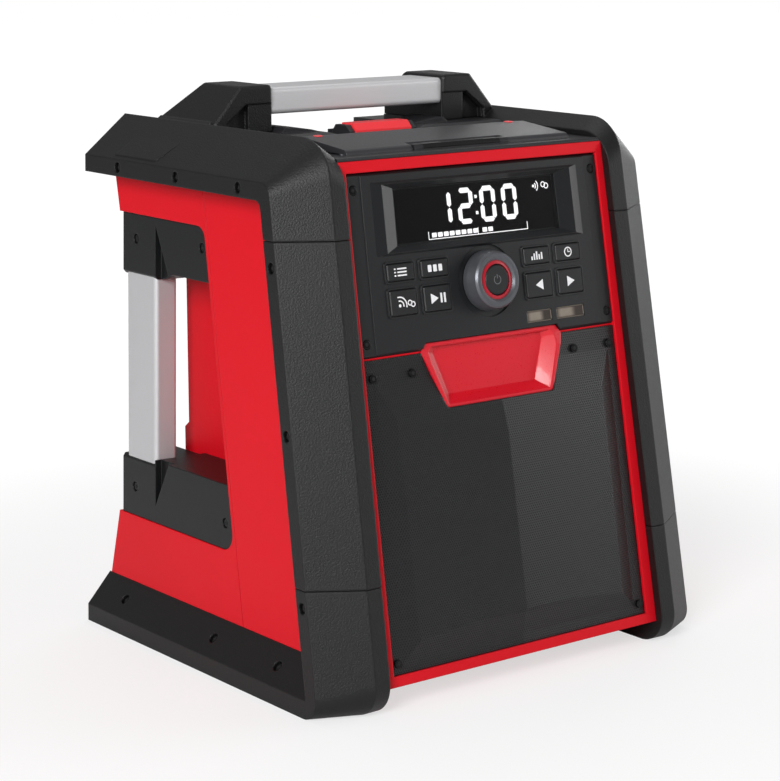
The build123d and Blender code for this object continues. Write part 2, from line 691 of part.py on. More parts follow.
with BuildPart() as control_panel:
    extrude(front_trapezoid(PANEL_BACK, JOIN_S + JOIN_GAP, RECESS_HIGH, -0.3), amount=5)
    extrude(dish_shape(PANEL_BACK - 1, 0.4), amount=12, mode=Mode.SUBTRACT)
    # bevels along the upper and lower edges
    high = RECESS_HIGH
    low = JOIN_S + JOIN_GAP
    bar_high = [(high - 2.4, -3.9), (high + 1.0, -3.9), (high + 1.0, -6.4), (high, -6.4)]
    bar_low = [(low + 2.0, -3.9), (low - 1.0, -3.9), (low - 1.0, -6.0), (low, -6.0)]
    extrude(outline(depth_plane(-110), bar_high), amount=220, mode=Mode.SUBTRACT)
    extrude(outline(depth_plane(-110), bar_low), amount=220, mode=Mode.SUBTRACT)
    # lower flange beside the field
    for side in (1, -1):
        flange = [(side * 94.6, 210), (side * 92.6, 345), (side * 120, 345), (side * 120, 210)]
        extrude(outline(FRONT.offset(PANEL_FACE - 0.5), flange), amount=3, mode=Mode.SUBTRACT)
    # raised frame round the display, falling inwards to the window
    bezel_foot = outline(FRONT.offset(PANEL_FACE - 0.1), BEZEL_FOOT)
    bezel_ridge = outline(FRONT.offset(RIDGE_N), BEZEL_RIDGE)
    loft(sections=[bezel_foot, bezel_ridge], ruled=True)
    bezel_mouth = outline(FRONT.offset(RIDGE_N), BEZEL_RIDGE)
    window_edge = outline(FRONT.offset(WINDOW_N), WINDOW)
    loft(sections=[window_edge, bezel_mouth], ruled=True, mode=Mode.SUBTRACT)
    extrude(outline(FRONT.offset(WINDOW_N - 1.5), WINDOW), amount=1.5, mode=Mode.SUBTRACT)
    extrude(outline(FRONT.offset(-20), MODULE), amount=16, mode=Mode.SUBTRACT)
    # raised rims and openings of the buttons
    for x, s, width, height in BUTTONS.values():
        extrude(front_rect(PANEL_FACE - 0.5, x, s, width + 3.0, height + 3.0, 2.0), amount=1.2)
    for x, s, width, height in BUTTONS.values():
        gap = 2 * BUTTON_GAP
        extrude(front_rect(-10, x, s, width + gap, height + gap, 1.4), amount=12, mode=Mode.SUBTRACT)
    # knob seat and bore
    extrude(front_ring(PANEL_FACE, 0, KNOB_S, 23.5), amount=-1.0, mode=Mode.SUBTRACT)
    extrude(front_ring(-10, 0, KNOB_S, 13.2), amount=12, mode=Mode.SUBTRACT)
    for x, width in INDICATORS.values():
        extrude(front_rect(-10, x, INDICATOR_S, width, 7.9, 1.2), amount=12, mode=Mode.SUBTRACT)
    for x, s in PANEL_SCREWS:
        extrude(front_ring(-6.0, x, s, SCREW_HEAD + 0.4), amount=4, mode=Mode.SUBTRACT)
        extrude(front_ring(-10, x, s, 1.4), amount=6, mode=Mode.SUBTRACT)

with BuildPart() as display_window:
    extrude(outline(FRONT.offset(WINDOW_N - 1.4), WINDOW_GLASS), amount=1.4)

with BuildPart() as lcd_module:
    extrude(outline(FRONT.offset(WINDOW_N - 1.5), [(x * 0.998, s) for x, s in MODULE]), amount=-8)

BUTTON_PARTS = {}
for label, (x, s, width, height) in BUTTONS.items():
    with BuildPart() as button:
        extrude(front_rect(-10.6, x, s, width, height, 1.1), amount=8.0)
        chamfer(button.faces().sort_by(Axis.Y)[0].edges(), 0.7)
        extrude(front_rect(-11.4, x, s, width + 2.4, height + 2.4, 1.4), amount=1.4)
    BUTTON_PARTS[label] = button

# ------------------------------------------------------------------ knob
KNOB_AXIS = Plane(
    origin=(0, BORDER_Y + KNOB_S * SIN_L, KNOB_S * COS_L),
    x_dir=(1, 0, 0),
    z_dir=(0, -COS_L, SIN_L),
)
KNOB_SECTION = Plane(origin=KNOB_AXIS.origin, x_dir=(1, 0, 0), z_dir=(0, -SIN_L, -COS_L))


def turned(profile):
    """Turned part about the knob axis; profile of radius and level pairs."""
    with BuildSketch(KNOB_SECTION) as section:
        with BuildLine():
            Polyline(*[(radius, level) for radius, level in profile], close=True)
        make_face()
    revolve(section.sketch, axis=Axis(KNOB_AXIS.origin, KNOB_AXIS.z_dir), revolution_arc=360)


with BuildPart() as volume_knob:
    turned(
        [
            (10.2, -13.0),
            (12.5, -13.0),
            (12.5, -4.4),
            (KNOB_R, -4.4),
            (KNOB_R, -1.0),
            (18.2, 6.0),
            (16.8, 7.4),
            (14.2, 7.4),
            (12.6, 6.0),
            (12.6, 3.4),
            (10.2, 3.4),
        ]
    )

with BuildPart() as knob_ring:
    turned([(10.25, 3.45), (12.55, 3.45), (12.55, 5.6), (10.25, 6.2)])

with BuildPart() as power_button:
    turned([(0, -12.0), (9.8, -12.0), (9.8, 5.6), (9.0, 6.3), (0, 6.3)])

with BuildPart() as knob_encoder:
    turned([(12.56, -14.5), (17.0, -14.5), (17.0, -9.4), (12.56, -9.4)])

INDICATOR_PARTS = {}
for label, (x, width) in INDICATORS.items():
    with BuildPart() as pane:
        extrude(front_rect(-7.2, x, INDICATOR_S, width - 0.1, 7.8, 1.15), amount=2.6)
    INDICATOR_PARTS[label] = pane

# ------------------------------------------------------------------ grille, dish, baffle
GRILLE_SCREWS = [
    (-99.3, 209.4),
    (99.3, 209.4),
    (-68.1, 209.4),
    (68.1, 209.4),
    (-103.5, 31.4),
    (103.5, 31.4),
]
ACROSS = Plane(origin=(0, BORDER_Y, 0), x_dir=(1, 0, 0), z_dir=(0, SIN_L, COS_L))


def facets(drop, side, low, high):
    """Two shallow facets meeting in a crease, bevelled at the foot and fading out at the top."""
    right = [(side, 9), (side, 5 + drop), (side - 12.0, 1.2 + drop), (0, -1.8 + drop)]
    left = [(-x, y) for x, y in reversed(right[:-1])]
    extrude(outline(ACROSS.offset(low), right + left), amount=high - low)
    foot = [(low, -5.0 - drop), (low + 16, 0.4 - drop), (low + 16, 6), (low, 6)]
    extrude(outline(depth_plane(-110), foot), amount=220, mode=Mode.SUBTRACT)
    crown = [(high, -5.0 - drop), (high - 46, 2.4 - drop), (high - 46, 6), (high, 6)]
    extrude(outline(depth_plane(-110), crown), amount=220, mode=Mode.SUBTRACT)


with BuildPart() as facet_outer:
    facets(0.0, 98.6, 31.0, 206.0)

with BuildPart() as facet_inner:
    facets(1.1, 97.4, 32.2, 204.8)

with BuildPart() as speaker_grille:
    extrude(front_trapezoid(-6.1, RECESS_LOW, JOIN_S - JOIN_GAP, -0.3), amount=1.1)
    add(facet_outer.part)
    add(facet_inner.part, mode=Mode.SUBTRACT)
    extrude(front_trapezoid(-14, 10, 240, 10), amount=7.9, mode=Mode.SUBTRACT)
    extrude(dish_shape(-14, 0.05), amount=30, mode=Mode.SUBTRACT)
    for x, s in GRILLE_SCREWS:
        extrude(front_ring(-8, x, s, 1.4), amount=6, mode=Mode.SUBTRACT)

with BuildPart() as nameplate_dish:
    extrude(dish_shape(-12, 0.0), amount=9.6)
    # the rim falls back towards the control panel
    rim_side = [(180.0, -2.0), (190.0, -2.4), (214.0, -3.4), (222.0, -5.6), (232.0, -6.0), (232.0, 0.0), (180.0, 0.0)]
    extrude(outline(depth_plane(-70), rim_side), amount=140, mode=Mode.SUBTRACT)
    dish_mouth = outline(
        FRONT.offset(-2.3),
        [(-42.8, 186.2), (42.8, 186.2), (57.0, 221.0), (53.6, 225.2), (-53.6, 225.2), (-57.0, 221.0)],
    )
    dish_floor = outline(
        FRONT.offset(-10.4),
        [(-36.6, 192.6), (36.6, 192.6), (46.0, 219.6), (44.6, 222.6), (-44.6, 222.6), (-46.0, 219.6)],
    )
    loft(sections=[dish_floor, dish_mouth], ruled=True, mode=Mode.SUBTRACT)

with BuildPart() as speaker_baffle:
    extrude(front_trapezoid(PANEL_BACK, RECESS_LOW, JOIN_S - JOIN_GAP, -0.3), amount=2.8)
    for x in (-50, 50):
        extrude(front_ring(-10, x, 101, 40), amount=6, mode=Mode.SUBTRACT)
    extrude(dish_shape(-14, 0.05), amount=30, mode=Mode.SUBTRACT)
    for x, s in GRILLE_SCREWS:
        extrude(front_ring(-10, x, s, 1.4), amount=6, mode=Mode.SUBTRACT)

SPEAKER_PROFILE = [
    (0, -20),
    (13, -20),
    (37, -10),
    (45.5, -9.05),
    (45.5, -12),
    (40, -12),
    (30, -30),
    (30, -46),
    (0, -46),
]
with BuildPart() as right_speaker:
    centre = FRONT.from_local_coords((50, 101, 0))
    cone_plane = Plane(origin=centre, x_dir=(1, 0, 0), z_dir=(0, -SIN_L, -COS_L))
    with BuildSketch(cone_plane) as cone:
        with BuildLine():
            Polyline(*SPEAKER_PROFILE, close=True)
        make_face()
    revolve(cone.sketch, axis=Axis(centre, FRONT.z_dir), revolution_arc=360)

with BuildPart() as left_speaker:
    mirror(right_speaker.part, about=Plane.YZ)

# ------------------------------------------------------------------ inside
with BuildPart() as control_board:
    extrude(front_trapezoid(-16.4, 228, 281, -14), amount=1.6)

with BuildPart() as main_board:
    block(-84, 84, 50, 51.8, HOUSE_BOTTOM + SHELL, 285)
    block(-60, -30, 36, 50, 60, 100)
    block(10, 60, 40, 50, 60, 90)

with BuildPart() as charger_supply:
    block(-60, 60, 64, 112, HOUSE_BOTTOM + SHELL, 74)
    block(-57.5, 57.5, 66.5, 109.5, HOUSE_BOTTOM + SHELL + 2.5, 71.5, mode=Mode.SUBTRACT)

with BuildPart() as battery_dock:
    rear = CORE_REAR
    block(-DOCK_HALF + 0.2, DOCK_HALF - 0.2, rear - 49, rear, DOCK_LOW + 0.2, DOCK_HIGH - 0.2)
    block(-DOCK_HALF + 3, DOCK_HALF - 3, rear - 45, rear + 5, DOCK_LOW + 3, DOCK_HIGH - 3, mode=Mode.SUBTRACT)
    # slide rails and guide ribs
    for side in (1, -1):
        rail_from = min(side * 36, side * 44)
        rail_to = max(side * 36, side * 44)
        block(rail_from, rail_to, rear - 31, rear - 25, DOCK_LOW + 2, DOCK_HIGH - 34)
        block(rail_from, rail_to, rear - 45, rear - 43, DOCK_LOW + 2, DOCK_HIGH - 2)
    # flange around the opening
    with BuildSketch(Plane.XZ.offset(-rear)) as flange:
        with Locations((0, (DOCK_LOW + DOCK_HIGH) / 2)):
            RectangleRounded(2 * DOCK_HALF + 10, DOCK_HIGH - DOCK_LOW + 10, 5)
            Rectangle(2 * DOCK_HALF - 6, DOCK_HIGH - DOCK_LOW - 6, mode=Mode.SUBTRACT)
    extrude(flange.sketch, amount=-2.4)

with BuildPart() as dock_contacts:
    block(-19, 19, rear - 45, rear - 33, 168, 222)
    for x in (-13.5, -4.5, 4.5, 13.5):
        block(x - 1.2, x + 1.2, rear - 39, rear - 32, 166, 206, mode=Mode.SUBTRACT)

with BuildPart() as ac_inlet:
    with BuildSketch(REAR_LOW.offset(-18)) as inlet_body:
        with Locations((60, 0)):
            Rectangle(27.8, 21.8)
    extrude(inlet_body.sketch, amount=18)
    with BuildSketch(REAR_LOW) as inlet_flange:
        with Locations((60, 0)):
            RectangleRounded(36, 29, 3)
    extrude(inlet_flange.sketch, amount=1.8)
    with BuildSketch(REAR_LOW.offset(-13)) as inlet_mouth:
        with Locations((60, 0)):
            RectangleRounded(22, 14, 4)
    extrude(inlet_mouth.sketch, amount=20, mode=Mode.SUBTRACT)
    with BuildSketch(REAR_LOW.offset(-13.5)) as inlet_pins:
        with Locations((55.5, 0), (64.5, 0)):
            Circle(1.3)
    extrude(inlet_pins.sketch, amount=10)

# ------------------------------------------------------------------ screws


def pan_screws(plane, spots, head, shank, length, head_high):
    """Recessed pan-head screws; the plane lies under the heads."""
    with BuildSketch(plane) as heads:
        with Locations(*spots):
            Circle(head)
    extrude(heads.sketch, amount=head_high)
    with BuildSketch(plane) as shanks:
        with Locations(*spots):
            Circle(shank)
    extrude(shanks.sketch, amount=-length)


with BuildPart() as panel_screws:
    pan_screws(FRONT.offset(-6.0), PANEL_SCREWS, SCREW_HEAD, 1.35, 3.0, 1.6)

with BuildPart() as grille_screws:
    pan_screws(FRONT.offset(-5.0), GRILLE_SCREWS, SCREW_HEAD, 1.35, 4.0, 1.5)

with BuildPart() as right_guard_screws:
    pan_screws(side_plane(0).offset(-3.4), GUARD_SCREW_SPOTS, 3.2, 1.7, 30.0, 1.8)
    pan_screws(FOOT_SEAT.offset(-3.4), [(y, 0) for y in FOOT_SCREWS], 3.2, 1.7, 14.0, 1.8)

with BuildPart() as left_guard_screws:
    mirror(right_guard_screws.part, about=Plane.YZ)

with BuildPart() as right_bracket_screws:
    pan_screws(side_plane(BRACKET_IN).offset(-2.4), UPPER_SCREWS, 3.0, 1.6, 20.0, 1.7)
    pan_screws(side_plane(BRACKET_IN).offset(-2.4), LOWER_SCREWS, 3.0, 1.6, 20.0, 1.7)

with BuildPart() as left_bracket_screws:
    mirror(right_bracket_screws.part, about=Plane.YZ)

NODES = {
    "right_top_guard": right_top_guard,
    "right_front_guard": right_front_guard,
    "right_bottom_guard": right_bottom_guard,
    "left_top_guard": left_top_guard,
    "left_front_guard": left_front_guard,
    "left_bottom_guard": left_bottom_guard,
    "carry_handle_tube": carry_handle_tube,
    "right_upper_bracket": right_upper_bracket,
    "right_lower_bracket": right_lower_bracket,
    "left_upper_bracket": left_upper_bracket,
    "left_lower_bracket": left_lower_bracket,
    "right_guard_tube": right_guard_tube,
    "left_guard_tube": left_guard_tube,
    "front_housing": front_housing,
    "rear_housing": rear_housing,
    "top_deck": top_deck,
    "compartment_lid": compartment_lid,
    "lid_hinge_pin": lid_hinge_pin,
    "latch_lever": latch_lever,
    "latch_pin": latch_pin,
    "usb_socket": usb_socket,
    "audio_jack": audio_jack,
    "control_panel": control_panel,
    "display_window": display_window,
    "lcd_module": lcd_module,
    "volume_knob": volume_knob,
    "knob_ring": knob_ring,
    "power_button": power_button,
    "knob_encoder": knob_encoder,
    "speaker_grille": speaker_grille,
    "nameplate_dish": nameplate_dish,
    "speaker_baffle": speaker_baffle,
    "right_speaker": right_speaker,
    "left_speaker": left_speaker,
    "control_board": control_board,
    "main_board": main_board,
    "charger_supply": charger_supply,
    "battery_dock": battery_dock,
    "dock_contacts": dock_contacts,
    "ac_inlet": ac_inlet,
    "panel_screws": panel_screws,
    "grille_screws": grille_screws,
    "right_guard_screws": right_guard_screws,
    "left_guard_screws": left_guard_screws,
    "right_bracket_screws": right_bracket_screws,
    "left_bracket_screws": left_bracket_screws,
}
NODES.update(BUTTON_PARTS)
NODES.update(INDICATOR_PARTS)
os.makedirs("parts", exist_ok=True)
for label, built in NODES.items():
    built.part.label = label
    export_step(built.part, f"parts/{label}.step")
    print(label, round(built.part.volume / 1000, 1), built.part.is_valid, len(built.part.solids()))
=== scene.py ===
# %% [markdown]
# # Jobsite radio
# A workshop radio is a leaning plastic box inside two rails that take the knocks. The solid parts
# come from the CAD frame. This script gives them their finishes and adds what is too thin or too
# fine for the solids: printed signs, display segments, screw recesses, contact blades. The screw
# recesses, and the finger notch of the lid, are dark plates of painted shade. It also cuts a tray
# for the hand under the carry tube.

# %% Load the frame
import math

import bpy
from mathutils import Matrix, Vector


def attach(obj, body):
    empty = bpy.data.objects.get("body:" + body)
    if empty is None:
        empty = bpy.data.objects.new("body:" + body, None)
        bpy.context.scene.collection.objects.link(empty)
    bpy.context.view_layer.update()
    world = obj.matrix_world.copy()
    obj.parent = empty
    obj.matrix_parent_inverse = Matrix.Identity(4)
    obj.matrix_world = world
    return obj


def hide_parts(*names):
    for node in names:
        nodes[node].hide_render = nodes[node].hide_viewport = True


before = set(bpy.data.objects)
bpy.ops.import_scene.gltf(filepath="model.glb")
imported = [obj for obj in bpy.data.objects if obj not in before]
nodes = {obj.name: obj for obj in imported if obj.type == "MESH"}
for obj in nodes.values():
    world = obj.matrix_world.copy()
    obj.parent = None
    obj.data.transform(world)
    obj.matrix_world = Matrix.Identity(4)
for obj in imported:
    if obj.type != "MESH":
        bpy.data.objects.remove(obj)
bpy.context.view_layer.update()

# %% [markdown]
# The whole front leans back, so places on it are easiest to give along the front itself:
# x to the right, s up the leaning face, and n out of it. One helper turns those into the frame.

# %% Places on the leaning front
MM = 0.001
LEAN = math.radians(10.01)
BORDER_Y = -145.91
KNOB_S = 261.0


def on_front(x, s, n):
    """A point of the leaning front, in metres."""
    y = BORDER_Y + s * math.sin(LEAN) - n * math.cos(LEAN)
    return Vector((x * MM, y * MM, (s * math.cos(LEAN) + n * math.sin(LEAN)) * MM))


def front_place(x, s, n, turn=0.0):
    """Matrix that lays a flat piece, drawn in x and y, on the front."""
    lay = Matrix.Rotation(math.pi / 2 - LEAN, 4, "X")
    return Matrix.Translation(on_front(x, s, n)) @ lay @ Matrix.Rotation(turn, 4, "Z")


print("knob centre", tuple(round(v, 4) for v in on_front(0, KNOB_S, 0)))

# %% [markdown]
# The sides lean in by a little more than one degree. A place on a side is given by its depth y, its
# height up the side and how far it lies under the outer plane. The left side is the mirror image.

# %% Places on the leaning sides
TAPER = math.radians(1.314)
HALF_WIDTH = 160.0


def tilted_place(origin, normal, along, y, up):
    """Matrix of a plane through origin; local x runs along the depth, local y runs up."""
    out = Vector(normal).normalized()
    side = Vector(along)
    rise = out.cross(side)
    spot = Vector(origin) * MM + side * (y * MM) + rise * (up * MM)
    turned = Matrix((side, rise, out)).transposed().to_4x4()
    return Matrix.Translation(spot) @ turned


def side_place(hand, inset, y, up, sunk):
    """hand is 1 for the right side and -1 for the left one."""
    normal = Vector((hand * math.cos(TAPER), 0, math.sin(TAPER)))
    origin = Vector((hand * (HALF_WIDTH - inset), 0, 0)) - normal * sunk
    return tilted_place(origin, normal, (0, hand, 0), hand * y, up)


print("side place", tuple(round(v, 4) for v in side_place(1, 0, 33.2, 321.8, 1.6).translation))

# %% [markdown]
# Finishes are written as sums on node sockets. A small class wraps a socket so that plus, minus,
# times and over add the Math nodes, with the number on either side of the sign. A sum is easier to
# read than a dozen nodes and links made by hand.


# %% Node sums
class Reading:
    """A socket that can be used in plain sums."""

    def __init__(self, finish, socket):
        self.finish = finish
        self.socket = socket

    def math(self, operation, *others):
        values = dict(enumerate((self,) + others))
        return self.finish.node("ShaderNodeMath", {"operation": operation}, values)

    def __add__(self, other):
        return self.math("ADD", other)

    def __mul__(self, other):
        return self.math("MULTIPLY", other)

    def __sub__(self, other):
        return self.math("SUBTRACT", other)

    def __truediv__(self, other):
        return self.math("DIVIDE", other)

    def reflected(self, operation, other):
        values = {0: other, 1: self}
        return self.finish.node("ShaderNodeMath", {"operation": operation}, values)

    def __rsub__(self, other):
        return self.reflected("SUBTRACT", other)

    def __rtruediv__(self, other):
        return self.reflected("DIVIDE", other)

    __radd__ = __add__
    __rmul__ = __mul__


# %% [markdown]
# A finish is one material. What is the same all over is set on the shader itself. What varies comes
# from nodes that read the place on the piece, so a pattern stays put when the part moves.


# %% A finish
class Finish:
    """One material: fixed values on the shader's own sockets, and nodes for what varies."""

    def __init__(self, name, color, roughness, metallic=0.0, **fixed):
        self.material = bpy.data.materials.new(name)
        self.material.use_nodes = True
        self.tree = self.material.node_tree
        self.shader = next(n for n in self.tree.nodes if n.type == "BSDF_PRINCIPLED")
        self.set("Base Color", (*color, 1.0))
        self.set("Roughness", roughness)
        self.set("Metallic", metallic)
        for key, value in fixed.items():
            self.set(key.replace("_", " ").title().replace("Ior", "IOR"), value)

    def set(self, socket, value):
        self.shader.inputs[socket].default_value = value

    def node(self, kind, settings=None, values=None, output=0):
        """Adds a node; settings first, then the values or links of its sockets."""
        made = self.tree.nodes.new(kind)
        for key, value in (settings or {}).items():
            setattr(made, key, value)
        for key, value in (values or {}).items():
            if isinstance(value, Reading):
                self.tree.links.new(value.socket, made.inputs[key])
            else:
                made.inputs[key].default_value = value
        return Reading(self, made.outputs[output])

    def feed(self, socket, reading):
        self.tree.links.new(reading.socket, self.shader.inputs[socket])

    def place(self):
        """Where a point is on the piece, in metres."""
        return self.node("ShaderNodeTexCoord", output="Object")

    def axes(self):
        """The three parts of the place as separate readings."""
        split = self.tree.nodes.new("ShaderNodeSeparateXYZ")
        self.tree.links.new(self.place().socket, split.inputs[0])
        return [Reading(self, out) for out in split.outputs]

    def noise(self, scale, detail=2.0, rough=0.5, place=None):
        values = {"Vector": place or self.place(), "Scale": scale}
        values.update({"Detail": detail, "Roughness": rough})
        return self.node("ShaderNodeTexNoise", None, values)

    def between(self, factor, low, high):
        """Mixes two colours."""
        values = {0: factor, 6: (*low, 1.0), 7: (*high, 1.0)}
        return self.node("ShaderNodeMix", {"data_type": "RGBA"}, values, 2)

    def band(self, reading, low, high):
        """Zero below low, one above high, smooth between."""
        values = {0: reading, 1: low, 2: high, 3: 0.0, 4: 1.0}
        return self.node("ShaderNodeMapRange", {"interpolation_type": "SMOOTHSTEP"}, values)

    def skin(self, height, depth, edge):
        """Fine relief of the surface, and edges that catch light as if rounded by edge metres."""
        values = {"Height": height, "Distance": depth}
        if edge:
            values["Normal"] = self.node("ShaderNodeBevel", {"samples": 6}, {"Radius": edge})
        self.feed("Normal", self.node("ShaderNodeBump", None, values))


def srgb(red, green, blue):
    """A colour written as it is seen, 0 to 255, as the linear values a shader needs."""

    def linear(value):
        value = value / 255
        return value / 12.92 if value <= 0.04045 else ((value + 0.055) / 1.055) ** 2.4

    return (linear(red), linear(green), linear(blue))


print("red as linear values", [round(v, 3) for v in srgb(214, 22, 36)])

# %% [markdown]
# Moulded plastic shows three things up close: a slight change of tone, a skin taken from the mould,
# and edges that are never quite sharp. Red shells are nearly smooth; guards are etched so that
# scratches don't show. Noise gives the tone and the skin. The Bevel node rounds the light on an
# edge without a single new face, so the solids can stay as they are.


# %% Moulded plastics
def moulded(name, color, roughness, grain, depth, edge, tone=0.08, **fixed):
    """Plastic with an etched skin, a faint drift of tone and soft edges."""
    finish = Finish(name, color, roughness, **fixed)
    drift = finish.noise(14.0, 3.0)
    dark = tuple(c * (1 - tone) for c in color)
    light = tuple(min(1.0, c * (1 + tone)) for c in color)
    finish.feed("Base Color", finish.between(drift, dark, light))
    etched = finish.noise(grain, 2.0, 0.6)
    finish.feed("Roughness", (etched - 0.5) * 0.16 + roughness)
    finish.skin(etched, depth, edge)
    return finish


RED = srgb(207, 13, 29)
red_shell = moulded("red shell plastic", RED, 0.42, 900.0, 0.00004, 0.0011, 0.03)
red_shell.set("Specular IOR Level", 0.16)
# The latch red is lighter than the shell's red: painted highlight for the light that falls on its
# top.
latch_red_lit = moulded("latch plastic with painted highlight", srgb(248, 58, 66), 0.32, 900.0, 0.00003, 0.0006, 0.03)
dish_skin = moulded("dish plastic", srgb(206, 12, 34), 0.30, 900.0, 0.00002, 0.0012, 0.03)
dish_skin.set("Coat Weight", 0.2)
print("red finishes", len(bpy.data.materials))

# %% [markdown]
# The black parts differ mostly by their skin. The guards carry the deepest grain; brackets, deck
# and panel are smoother; keys are soft rubber. The knob is half metallic, so that its rim catches
# the lamps.

# %% Black plastics
guard_skin = moulded("etched guard plastic", srgb(15, 15, 16), 0.46, 950.0, 0.00024, 0.0016, 0.15)
bracket_skin = moulded("bracket plastic", srgb(17, 18, 19), 0.42, 1000.0, 0.00010, 0.0012)
deck_skin = moulded("deck plastic", srgb(34, 34, 37), 0.40, 1000.0, 0.00012, 0.0009)
lid_skin = moulded("lid plastic", srgb(48, 48, 51), 0.38, 1000.0, 0.00012, 0.0009)
panel_skin = moulded("control panel plastic", srgb(23, 24, 26), 0.38, 1300.0, 0.00005, 0.0006)
key_rubber = moulded("key rubber", srgb(19, 20, 22), 0.44, 1500.0, 0.00005, 0.0005)
knob_skin = moulded("knob plastic", srgb(90, 92, 97), 0.34, 1300.0, 0.00004, 0.0007)
knob_skin.set("Metallic", 0.5)
inner_skin = moulded("inner moulding", srgb(30, 30, 32), 0.55, 900.0, 0.00010, 0.0006)
speaker_skin = moulded("speaker cone", srgb(30, 30, 31), 0.70, 700.0, 0.00010, 0.0010)
board_skin = moulded("circuit board", srgb(20, 84, 50), 0.40, 500.0, 0.00002, 0.0, 0.15)
ring_red = moulded("knob ring", srgb(168, 12, 34), 0.35, 900.0, 0.00002, 0.0003, 0.03)
for finish in (guard_skin, bracket_skin, panel_skin, key_rubber):
    finish.set("Specular IOR Level", 0.38)
print("moulded finishes", len(bpy.data.materials))

# %% [markdown]
# The tubes are drawn aluminium with a satin skin: fine lines that run along the tube. Noise that is
# squeezed across the tube and stretched along it gives those lines. The skin is an oxide layer that
# scatters some light, so the finish is only partly metallic.


# %% Metals
def drawn_metal(name, color, roughness, metallic, stretch):
    finish = Finish(name, color, roughness, metallic)
    values = {"Vector": finish.place(), "Scale": stretch}
    streak = finish.noise(1.0, 3.0, 0.55, finish.node("ShaderNodeMapping", None, values))
    finish.feed("Roughness", (streak - 0.5) * 0.24 + roughness)
    finish.feed("Base Color", finish.between(streak, tuple(c * 0.92 for c in color), color))
    finish.skin(streak, 0.00002, 0.0005)
    return finish


FINE, LONG = 2600.0, 30.0  # noise per metre, across a tube and along it
GRIP_GREY = srgb(198, 198, 200)
CARRY_GREY = srgb(222, 222, 224)
tube_up = drawn_metal("satin tube upright", GRIP_GREY, 0.44, 0.35, (FINE, FINE, LONG))
tube_across = drawn_metal("satin tube across", CARRY_GREY, 0.42, 0.40, (LONG, FINE, FINE))
steel = drawn_metal("pin steel", srgb(178, 178, 182), 0.30, 1.0, (2 * LONG, FINE, FINE))
brass = Finish("contact brass", srgb(214, 176, 92), 0.30, 1.0)
brass.feed("Roughness", brass.noise(900.0) * 0.2 + 0.2)
screw_black = Finish("black screw", srgb(16, 16, 17), 0.24, 0.5)
screw_black.feed("Roughness", screw_black.noise(1200.0) * 0.12 + 0.18)
screw_black.skin(screw_black.noise(1800.0), 0.00002, 0.0009)
print("metals done, materials", len(bpy.data.materials))

# %% [markdown]
# The grille is sheet metal with small round holes in a staggered grid. The holes are painted by
# the material, in near black as painted shade of the dark behind them: each point finds its place
# in its own cell, and is hole or sheet by its distance from the cell's middle. Two grids, half a
# step apart, make the stagger. Real holes would be finer to look into, but thousands of them are
# too many faces. The sheet is pressed to a shallow crease down its middle, so its two halves take
# the light differently.

# %% Perforated sheet
PITCH = 1.8 * MM
HOLE = 0.56 * MM
CREASE = 0.070  # how steeply the sheet falls away from its middle line
grille_sheet = Finish("perforated sheet", srgb(40, 40, 42), 0.38, 0.0)


def perforation(finish):
    """One where there is sheet, zero in a hole, on the leaning front."""
    across, depth, up = finish.axes()
    along = depth * math.sin(LEAN) + up * math.cos(LEAN)
    row = PITCH * math.sqrt(3.0)
    nearest = None
    for shift in (0.0, 0.5):
        cell_x = (across / PITCH + shift).math("FRACT") - 0.5
        cell_s = (along / row + shift).math("FRACT") - 0.5
        far = (cell_x * cell_x * (PITCH * PITCH) + cell_s * cell_s * (row * row)).math("SQRT")
        nearest = far if nearest is None else nearest.math("MINIMUM", far)
    return finish.band(nearest, HOLE * 0.78, HOLE * 1.15)


sheet = perforation(grille_sheet)
crease = grille_sheet.axes()[0].math("ABSOLUTE") * CREASE
# holes get near black as painted shade of the openings; the sheet keeps its own dark grey
grille_sheet.feed("Base Color", grille_sheet.between(sheet, srgb(4, 4, 5), srgb(21, 21, 23)))
grille_sheet.feed("Roughness", 0.85 - sheet * 0.50)
grille_sheet.skin(sheet * 0.00020 - crease, 1.0, 0.0016)
print("holes per square centimetre", round(2 / (PITCH * PITCH * math.sqrt(3.0)) * 1e-4))

# %% [markdown]
# The display is a dark module under a smoked window. Its segments glow, so they carry their own
# light; signs on the keys are white paint that only takes the light of the room.

# %% Display, window and print finishes
window_glass = Finish("display window", srgb(14, 14, 15), 0.06, ior=1.40)
window_glass.set("Alpha", 0.14)
window_glass.feed("Roughness", window_glass.noise(60.0) * 0.03 + 0.05)
display_dark = Finish("display module", srgb(12, 11, 12), 0.30)
display_dark.feed("Roughness", display_dark.noise(300.0) * 0.08 + 0.26)
display_dark.set("Specular IOR Level", 0.2)
segment_glow = Finish("display segment", srgb(250, 250, 252), 0.5)
segment_glow.set("Emission Color", (1.0, 1.0, 1.0, 1.0))
segment_glow.set("Emission Strength", 0.8)
sign_white = Finish("printed white", srgb(232, 232, 234), 0.5)
sign_white.feed("Roughness", sign_white.noise(700.0) * 0.1 + 0.45)
sign_grey = Finish("printed grey", srgb(92, 92, 95), 0.5)
sign_grey.feed("Roughness", sign_grey.noise(700.0) * 0.1 + 0.45)
# near black paint for the shade inside screw recesses: painted shade
recess_shade_black = Finish("recess shadow", srgb(5, 5, 5), 0.8)
recess_shade_black.skin(recess_shade_black.noise(900.0), 0.00002, 0.0)
print("materials", len(bpy.data.materials))

# %% [markdown]
# The two indicator windows are clear plastic over small lamps. Off, they look brown, with a paler
# patch behind the left part of each window, where the lamp sits, and a thin pale rim. Patch and rim
# are bands of the place on the front, joined and cut like masks.

